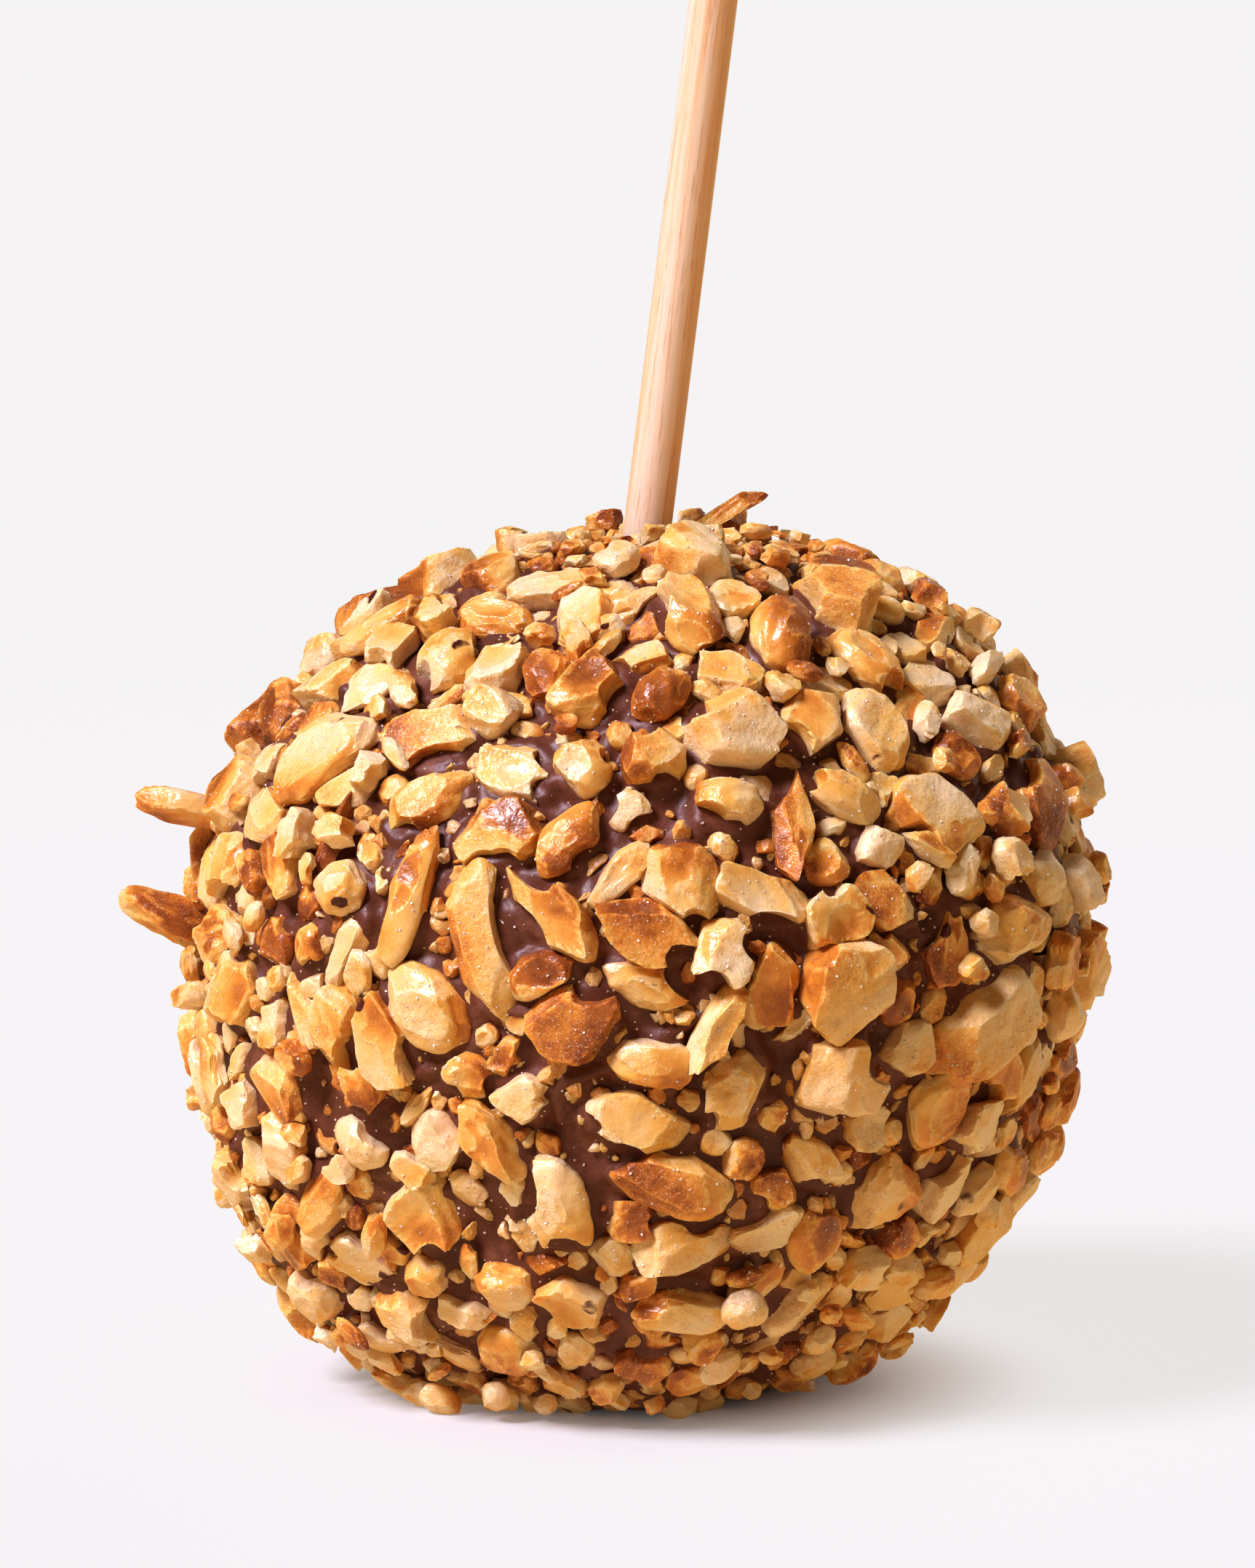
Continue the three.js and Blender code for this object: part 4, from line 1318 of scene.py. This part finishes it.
# %% Run a Geometry Nodes tree
def scatter(name, ground, make_tree, inputs):
    """The result of a Geometry Nodes tree on a piece, as a plain mesh of its own."""
    group = bpy.data.node_groups.new(name, "GeometryNodeTree")
    group.interface.new_socket("Geometry", in_out="INPUT", socket_type="NodeSocketGeometry")
    group.interface.new_socket("Geometry", in_out="OUTPUT", socket_type="NodeSocketGeometry")
    sockets = {}
    for label, value in inputs.items():
        kind = "Int" if isinstance(value, int) else "Float"
        if isinstance(value, bpy.types.Material):
            kind = "Material"
        sockets[label] = group.interface.new_socket(label, in_out="INPUT", socket_type=f"NodeSocket{kind}")
    tree = Tree(group)
    start = group.nodes.new("NodeGroupInput")
    given = {socket.name: Signal(tree, socket) for socket in start.outputs if socket.name}
    end = group.nodes.new("NodeGroupOutput")
    tree.feed(end.inputs[0], make_tree(tree, given))
    carrier = bpy.data.objects.new(name, ground.data)
    bpy.context.scene.collection.objects.link(carrier)
    modifier = carrier.modifiers.new(name, "NODES")
    modifier.node_group = group
    for label, value in inputs.items():
        modifier[sockets[label].identifier] = value
    evaluated = carrier.evaluated_get(bpy.context.evaluated_depsgraph_get())
    mesh = bpy.data.meshes.new_from_object(evaluated)
    carrier.modifiers.clear()
    carrier.data = mesh
    mesh.name = name
    mesh.calc_loop_triangles()
    print(name, len(mesh.loop_triangles), "triangles")
    return carrier


print("a tree is run on a piece of", len(coat.data.polygons), "faces")

# %% [markdown]
# Two steps are the same for crumbs and salt: a random value for each point, and copies of one small shape
# on random points of the ground, each turned its own way. All of them have a fixed seed.

# %% Random values and copies
FULL_TURN = 6.28  # radians


def random_value(tree, kind, low, high, seed):
    """A random number or vector for each point, between two values."""
    sockets = {"FLOAT": (2, 3, 1), "FLOAT_VECTOR": (0, 1, 0)}[kind]
    return tree.node("FunctionNodeRandomValue", {"data_type": kind},
                     {sockets[0]: low, sockets[1]: high, "Seed": seed}, sockets[2])


def strewn(tree, given, share, shape, scale, turn_seed):
    """Copies of a shape on random points of the ground, fewer where the share is low."""
    spread = tree.node("GeometryNodeDistributePointsOnFaces", {"distribute_method": "RANDOM"}, {
        "Mesh": given["Geometry"], "Density": given["Density"] * share, "Seed": given["Seed"]})
    turn = random_value(tree, "FLOAT_VECTOR", (0, 0, 0), (FULL_TURN, FULL_TURN, FULL_TURN), turn_seed)
    return tree.node("GeometryNodeInstanceOnPoints", None, {
        "Points": spread, "Instance": shape, "Rotation": turn, "Scale": scale})


print("a copy may be turned by up to", round(math.degrees(FULL_TURN)), "degrees about each axis")

# %% [markdown]
# A crumb starts as a small ball of few faces, stretched at random, on a spot where the coat is bare. Once
# the crumbs are real geometry, a noise in space dents them, so that no two are alike. They get a tone and a
# height as the chips have, because they share their material. The tree ends with Realize Instances and Set
# Material, since only real geometry is exported. No crumb lies lower than where the coat leaves the table.

# %% Scatter the crumbs
SHAPE_SEED, CRUMB_TURN_SEED, TONE_SEED = 5, 6, 7
CRUMB_TONES = (0.1, 0.75)
SLIMMEST = (0.55, 0.55, 0.45)
FATTEST = (1.3, 1.1, 0.9)
DENT_SCALE = 900.0
CRUMB_FLOOR = (0.0015, 0.0016)  # metres over the table where crumbs start


def crumb_tree(tree, given):
    """Dented balls on the bare chocolate."""
    bare = tree.node("GeometryNodeInputNamedAttribute", {"data_type": "FLOAT"}, {"Name": "bare"}, 0)
    place = tree.node("GeometryNodeInputPosition")
    tall = tree.node("ShaderNodeSeparateXYZ", None, {0: place}, 2)
    ball = tree.node("GeometryNodeMeshIcoSphere", None, {"Radius": 1.0, "Subdivisions": 2})
    size = random_value(tree, "FLOAT", given["Smallest"], given["Largest"], given["Seed"])
    shape = random_value(tree, "FLOAT_VECTOR", SLIMMEST, FATTEST, SHAPE_SEED)
    scaled = tree.vector("SCALE", {0: shape, "Scale": size})
    made = strewn(tree, given, bare * tall.above(*CRUMB_FLOOR), ball, scaled, CRUMB_TURN_SEED)
    for mark, value in (("tone", random_value(tree, "FLOAT", *CRUMB_TONES, TONE_SEED)), ("height", 1.0)):
        made = tree.node("GeometryNodeStoreNamedAttribute", {"data_type": "FLOAT", "domain": "INSTANCE"}, {
            "Geometry": made, "Name": mark, "Value": value})
    real = tree.node("GeometryNodeRealizeInstances", None, {"Geometry": made})
    dents = tree.node("ShaderNodeTexNoise", None, {"Vector": place, "Scale": DENT_SCALE, "Detail": 1.0}, 1)
    shifted = tree.vector("SUBTRACT", {0: dents, 1: (0.5, 0.5, 0.5)})
    moved = tree.vector("SCALE", {0: shifted, "Scale": given["Dent"]})
    dented = tree.node("GeometryNodeSetPosition", None, {"Geometry": real, "Offset": moved})
    return tree.node("GeometryNodeSetMaterial", None, {"Geometry": dented, "Material": given["Material"]})


crumbs = scatter("peanut_crumbs", coat, crumb_tree, {
    "Density": 160000.0, "Smallest": 0.0004, "Largest": 0.0012, "Dent": 0.0014, "Seed": 3,
    "Material": peanut,
})

# %% [markdown]
# ## Salt
#
# Salted peanuts leave grains of salt everywhere. A salt crystal is a little cube, so each grain is a cube
# of at most a fifth of a millimetre. Grains painted by a material would have no edges to glint. The ground
# for them is a copy of all the chips and the coat, from which the tree takes only faces that look outwards.

# %% A grain of salt
SALT_TURN_SEED = 8
CLEAR_SALT = colour(255, 252, 244)
DULL_SALT = colour(246, 232, 208)
FACING = (0.1, 0.5)  # faces turned away from the middle less than this get no salt, and more than this all
SALT_FLOOR = (0.001, 0.0012)  # metres over the table where it starts


def salt_finish():
    """Milky crystals."""
    material, tree, shader = new_finish("salt", Specular_IOR_Level=0.5, Subsurface_Weight=0.2)
    cloud = tree.noise(3000, 1)
    cover(tree, shader, tree.mix(cloud, CLEAR_SALT, DULL_SALT), 0.3 + 0.2 * cloud)
    return material


def salt_tree(tree, given):
    """Small cubes on every face that looks outwards."""
    place = tree.node("GeometryNodeInputPosition")
    away = tree.vector("SUBTRACT", {0: place, 1: tuple(WAIST * MM)})
    outward = tree.vector("NORMALIZE", {0: away})
    facing = tree.vector("DOT_PRODUCT", {0: outward, 1: tree.node("GeometryNodeInputNormal")}, "Value")
    tall = tree.node("ShaderNodeSeparateXYZ", None, {0: place}, 2)
    cube = tree.node("GeometryNodeMeshCube", None, {"Size": (1, 1, 1)})
    size = random_value(tree, "FLOAT", given["Smallest"], given["Largest"], given["Seed"])
    share = facing.above(*FACING) * tall.above(*SALT_FLOOR)
    grains = strewn(tree, given, share, cube, size, SALT_TURN_SEED)
    real = tree.node("GeometryNodeRealizeInstances", None, {"Geometry": grains})
    return tree.node("GeometryNodeSetMaterial", None, {"Geometry": real, "Material": given["Material"]})


salt_material = salt_finish()
print("salt has", len(salt_material.node_tree.nodes), "nodes")

# %% [markdown]
# Joining changes the pieces it is given, so copies are joined, and thrown away once the salt lies on them.

# %% Scatter the salt
def joined_copy(pieces):
    """One object with copies of all the pieces' meshes."""
    copies = [piece.copy() for piece in pieces]
    for copy in copies:
        copy.data = copy.data.copy()
        bpy.context.scene.collection.objects.link(copy)
    with bpy.context.temp_override(active_object=copies[0], selected_editable_objects=copies):
        bpy.ops.object.join()
    return copies[0]


everything = joined_copy(peanut_pieces + [coat])
salt = scatter("salt_grains", everything, salt_tree, {
    "Density": 200000.0, "Smallest": 0.00007, "Largest": 0.0002, "Seed": 4, "Material": salt_material,
})
bpy.data.objects.remove(everything)

# %% [markdown]
# ## The stick
#
# The stick is a turned rod of pale wood, from its square-cut top down into the apple. A lathe shape could be
# a Screw modifier on a profile. Rings of points made in a loop are as short, and let the rod be a little
# uneven, as a cheap stick is: shallow flats run along it. Its first and last rings are narrow and lie in its
# end faces, which keeps the flat ends flat in the shading.

# %% Make the stick
STICK_LENGTH = 140.0
STICK_INSERTED = 48.0
STICK_CHAMFER = 0.4
STICK_SIDES = 72
STICK_RINGS = 90
END_RING = 0.9  # radius of the ring in each end face
STICK_SHARP = 30  # degrees
FLATS = 5
FLAT_DEPTH = 0.012
SMALL_FLATS = 11
SMALL_DEPTH = 0.006
TWIST = 0.01  # of the large flats, in radians per mm


def make_stick():
    """The rod as rings of points, closed at both ends."""
    start = STICK_ENTRY - STICK_INSERTED * STICK_UP
    side = unit(np.cross([0.0, 1.0, 0.0], STICK_UP))
    front = np.cross(STICK_UP, side)
    heights = np.concatenate([[0.0, 0.0, STICK_CHAMFER], np.linspace(1, STICK_LENGTH - 1, STICK_RINGS),
                              [STICK_LENGTH - STICK_CHAMFER, STICK_LENGTH, STICK_LENGTH]])
    radii = np.full(len(heights), STICK_RADIUS)
    radii[[0, -1]] = END_RING
    radii[[1, -2]] = STICK_RADIUS - STICK_CHAMFER
    angles = np.arange(STICK_SIDES) * 2 * math.pi / STICK_SIDES
    points = []
    for height, radius in zip(heights, radii):
        flats = 1 - FLAT_DEPTH * (1 + np.sin(FLATS * angles + TWIST * height))
        flats -= SMALL_DEPTH * (1 + np.sin(SMALL_FLATS * angles + 1))
        ring = np.cos(angles)[:, None] * side + np.sin(angles)[:, None] * front
        points.append(start + height * STICK_UP + ring * (radius * flats)[:, None])
    points = np.concatenate(points)
    faces = []
    for ring in range(len(heights) - 1):
        for i in range(STICK_SIDES):
            j = (i + 1) % STICK_SIDES
            low, high = ring * STICK_SIDES, (ring + 1) * STICK_SIDES
            faces.append((low + i, low + j, high + j, high + i))
    last = (len(heights) - 1) * STICK_SIDES
    faces.append(tuple(range(STICK_SIDES))[::-1])
    faces.append(tuple(range(last, last + STICK_SIDES)))
    piece = add_mesh("wooden_stick", points, faces)
    piece.data.shade_smooth()
    piece.data.set_sharp_from_angle(angle=math.radians(STICK_SHARP))
    print("wooden_stick", len(faces), "faces")
    return piece


stick = make_stick()

# %% [markdown]
# Wood grain runs along a stick. The Mapping node first turns the pattern until one axis lies along the rod,
# and then squeezes it along that axis, so that round clouds become long streaks. Pale wood is also a little
# see-through at its edges, which much subsurface gives.

# %% The finish of the wood
PALE_WOOD = colour(237, 215, 193)
WARM_WOOD = colour(231, 196, 154)
DARK_FIBRE = colour(196, 142, 90)
STREAK = (1.0, 1.0, 0.035)
PORE = (1.0, 1.0, 0.09)
BAND_NOISE = (420, 2, 0.5)
FIBRE_NOISE = (2600, 3, 0.6)
PORE_NOISE = (5200, 2, 0.5)
WARM_EDGE = (0.38, 0.62)  # the noise where the warm bands start, and are full
DARK_EDGE = (0.56, 0.72)
DARKEST = 0.35  # how strong the dark fibres are
WOOD_BUMP = (0.4, 0.0002)


def wood_finish():
    """Pale wood with its grain along the stick."""
    material, tree, shader = new_finish(
        "birch_wood", Specular_IOR_Level=0.5, Subsurface_Weight=0.9, Subsurface_Radius=(1.0, 0.8, 0.6),
        Subsurface_Scale=0.005,
    )
    x, y, z = STICK_UP
    turn = (math.atan2(y, z), -math.atan2(x, math.hypot(y, z)), 0.0)
    along = tree.node("ShaderNodeMapping", None, {"Vector": tree.place(), "Rotation": turn})
    streaked = tree.node("ShaderNodeMapping", None, {"Vector": along, "Scale": STREAK})
    bands = tree.noise(*BAND_NOISE, streaked)
    fibres = tree.noise(*FIBRE_NOISE, streaked)
    squeezed = tree.node("ShaderNodeMapping", None, {"Vector": along, "Scale": PORE})
    pores = tree.noise(*PORE_NOISE, squeezed)
    warm = (bands + 0.35 * (fibres - 0.5)).above(*WARM_EDGE)
    wood = tree.mix(warm, PALE_WOOD, WARM_WOOD)
    dark = (fibres + 0.5 * (pores - 0.5)).above(*DARK_EDGE)
    relief = tree.bump(*WOOD_BUMP, fibres + 0.4 * pores)
    cover(tree, shader, tree.mix(DARKEST * dark, wood, DARK_FIBRE), 0.5 + 0.2 * fibres, relief)
    return material


stick.data.materials.append(wood_finish())
print("the grain is", round(1 / STREAK[2]), "times as long as it is wide")

# %% [markdown]
# ## Floor, light and camera
#
# The apple stands on plain pale paper. A paper sweep would hide the apple from behind, so the floor is a
# disc whose edge fades into a background of the same brightness. Away from the apple the floor glows: this
# painted light stands in for the light that white paper throws back up, and keeps the floor's shadow pale.
# The apple gets that glow warmed, as if it had been between the peanuts before, while the camera sees the
# paper's own pale colour. Next to the apple the paper doesn't glow and gives back only what falls on it,
# which leaves a shadow there.

# %% The floor
FLOOR_RADIUS = 1200.0
FLOOR_SIDES = 64
FADE = (0.45, 1.15)  # metres from the middle where the floor starts to fade, and is gone
NEAR_FOOT = (0.012, 0.044)  # metres from the middle where the paper's own light starts, and is full
PAPER = 0.72  # how much light the floor gives back next to the apple
FAR_PAPER = 0.11
BOUNCE_GLOW = (0.9, 0.65, 0.36, 1.0)  # what the apple gets of the floor's glow, painted light in place of light thrown back by paper
GLOW = 0.8  # what the camera sees of the glow, which paints the floor's shadow pale
NO_LIGHT = (0.0, 0.0, 0.0, 1.0)
PAPER_NOISE = (700, 2)
PAPER_DARKER = 0.02  # where its noise is high


def paper_white(strength, blue=0.985):
    """White with a little less green and blue."""
    return strength, 0.985 * strength, blue * strength, 1


def paper_finish():
    """Pale paper that glows as painted light, more away from the apple."""
    material, tree, shader = new_finish(
        "pale_paper", Roughness=0.9, Specular_IOR_Level=0.1, Emission_Strength=1.0)
    radius = tree.vector("LENGTH", {0: tree.place()}, "Value")
    far = radius.above(*NEAR_FOOT)
    paper = tree.mix(far, paper_white(PAPER), paper_white(FAR_PAPER))
    paper = tree.mix(PAPER_DARKER * tree.noise(*PAPER_NOISE), paper, NO_LIGHT)
    tree.feed(shader.inputs["Base Color"], paper)
    seen = tree.node("ShaderNodeLightPath", None, None, "Is Camera Ray")
    glow = tree.mix(seen, BOUNCE_GLOW, paper_white(GLOW, 0.99))
    # The glow is painted light: away from the apple it keeps the floor's shadow pale and lights the apple.
    tree.feed(shader.inputs["Emission Color"], tree.mix(far, NO_LIGHT, glow))
    tree.feed(shader.inputs["Alpha"], 1 - radius.above(*FADE))
    return material


around = np.linspace(0, 2 * math.pi, FLOOR_SIDES + 1)[:-1]
rim = FLOOR_RADIUS * np.stack([np.cos(around), np.sin(around), np.zeros(FLOOR_SIDES)], axis=1)
floor = add_mesh("floor", rim, [tuple(range(FLOOR_SIDES))])
floor.data.materials.append(paper_finish())
print("the floor is", FLOOR_RADIUS * MM * 2, "m across")

# %% [markdown]
# The background is pale where the camera looks at it, but as light it is dim and warm. It fills the shadows
# between the peanuts, where real light has been from peanut to peanut and has turned golden.

# %% The background
BACKGROUND = colour(247.2, 245.6, 245.6)
FILL = 0.115
FILL_COLOUR = (1.0, 0.65, 0.32, 1.0)


def make_world():
    """A background of one colour for the camera and another for the light."""
    world = bpy.data.worlds.new("pale_studio")
    world.use_nodes = True
    tree = Tree(world.node_tree)
    world.node_tree.nodes.clear()
    seen = tree.node("ShaderNodeLightPath", None, None, "Is Camera Ray")
    shown = tree.node("ShaderNodeBackground", None, {"Color": BACKGROUND, "Strength": 1.0})
    light = tree.node("ShaderNodeBackground", None, {"Color": FILL_COLOUR, "Strength": FILL})
    both = tree.node("ShaderNodeMixShader", None, {0: seen, 1: light, 2: shown})
    tree.node("ShaderNodeOutputWorld", None, {"Surface": both})
    bpy.context.scene.world = world


make_world()
print("the background fills the shadows at", FILL)

# %% [markdown]
# A sun lamp with a wide disc stands for a large soft lamp: the wider its disc, the softer its shadow. The
# main one shines from the upper left in front. A weaker and wider one behind lights the far edge of the
# apple and its back.

# %% The lamps
LAMPS = {
    # strength, colour, width in degrees, the way to the lamp
    "soft_lamp": (4.5, (0.98, 0.965, 1.2), 20, (-0.54, -0.44, 0.74)),
    "rim_lamp": (0.8, (1.0, 0.88, 0.72), 60, (0.62, 0.66, 0.42)),
}
for name, (strength, tint, width, way) in LAMPS.items():
    lamp = bpy.data.lights.new(name, "SUN")
    lamp.energy = strength
    lamp.color = tint
    lamp.angle = math.radians(width)
    sun = bpy.data.objects.new(name, lamp)
    sun.rotation_euler = Vector(way).to_track_quat("Z", "Y").to_euler()
    bpy.context.scene.collection.objects.link(sun)
    print(name, "stands", round(math.degrees(math.asin(unit(np.array(way))[2]))), "degrees up")

# %% [markdown]
# The camera is a long lens a little above the apple's middle, which looks slightly down. A long lens from
# far away keeps the apple round, where a short one from near would make its front bulge.

# %% The camera
LENS = 112
FILM_WIDTH = 36
CAMERA_PLACE = (-0.000895, -0.48, 0.10057)
LOOK_DOWN = 4.93  # degrees
GAMMA = 0.78  # under 1, the picture gets deeper shadows and richer colours

lens = bpy.data.cameras.new("camera")
lens.lens = LENS
lens.sensor_width = FILM_WIDTH
camera = bpy.data.objects.new("camera", lens)
camera.location = CAMERA_PLACE
camera.rotation_euler = (math.radians(90 - LOOK_DOWN), 0, 0)
bpy.context.scene.collection.objects.link(camera)
bpy.context.scene.camera = camera
bpy.context.scene.view_settings.view_transform = "Standard"
bpy.context.scene.view_settings.gamma = GAMMA
print("the camera sees", round(math.degrees(2 * math.atan(FILM_WIDTH / 2 / LENS)), 1), "degrees")

# %% [markdown]
# ## Tie the pieces to the solid model
#
# Every piece rides on the one body of the solid model, and the solid's own parts are hidden.

# %% Ride and replace
coated_pieces = peanut_pieces + [coat, crumbs, salt]
for piece in coated_pieces:
    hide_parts("coated_apple")
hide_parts("stick")
for piece in coated_pieces + [stick]:
    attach(piece, "root")
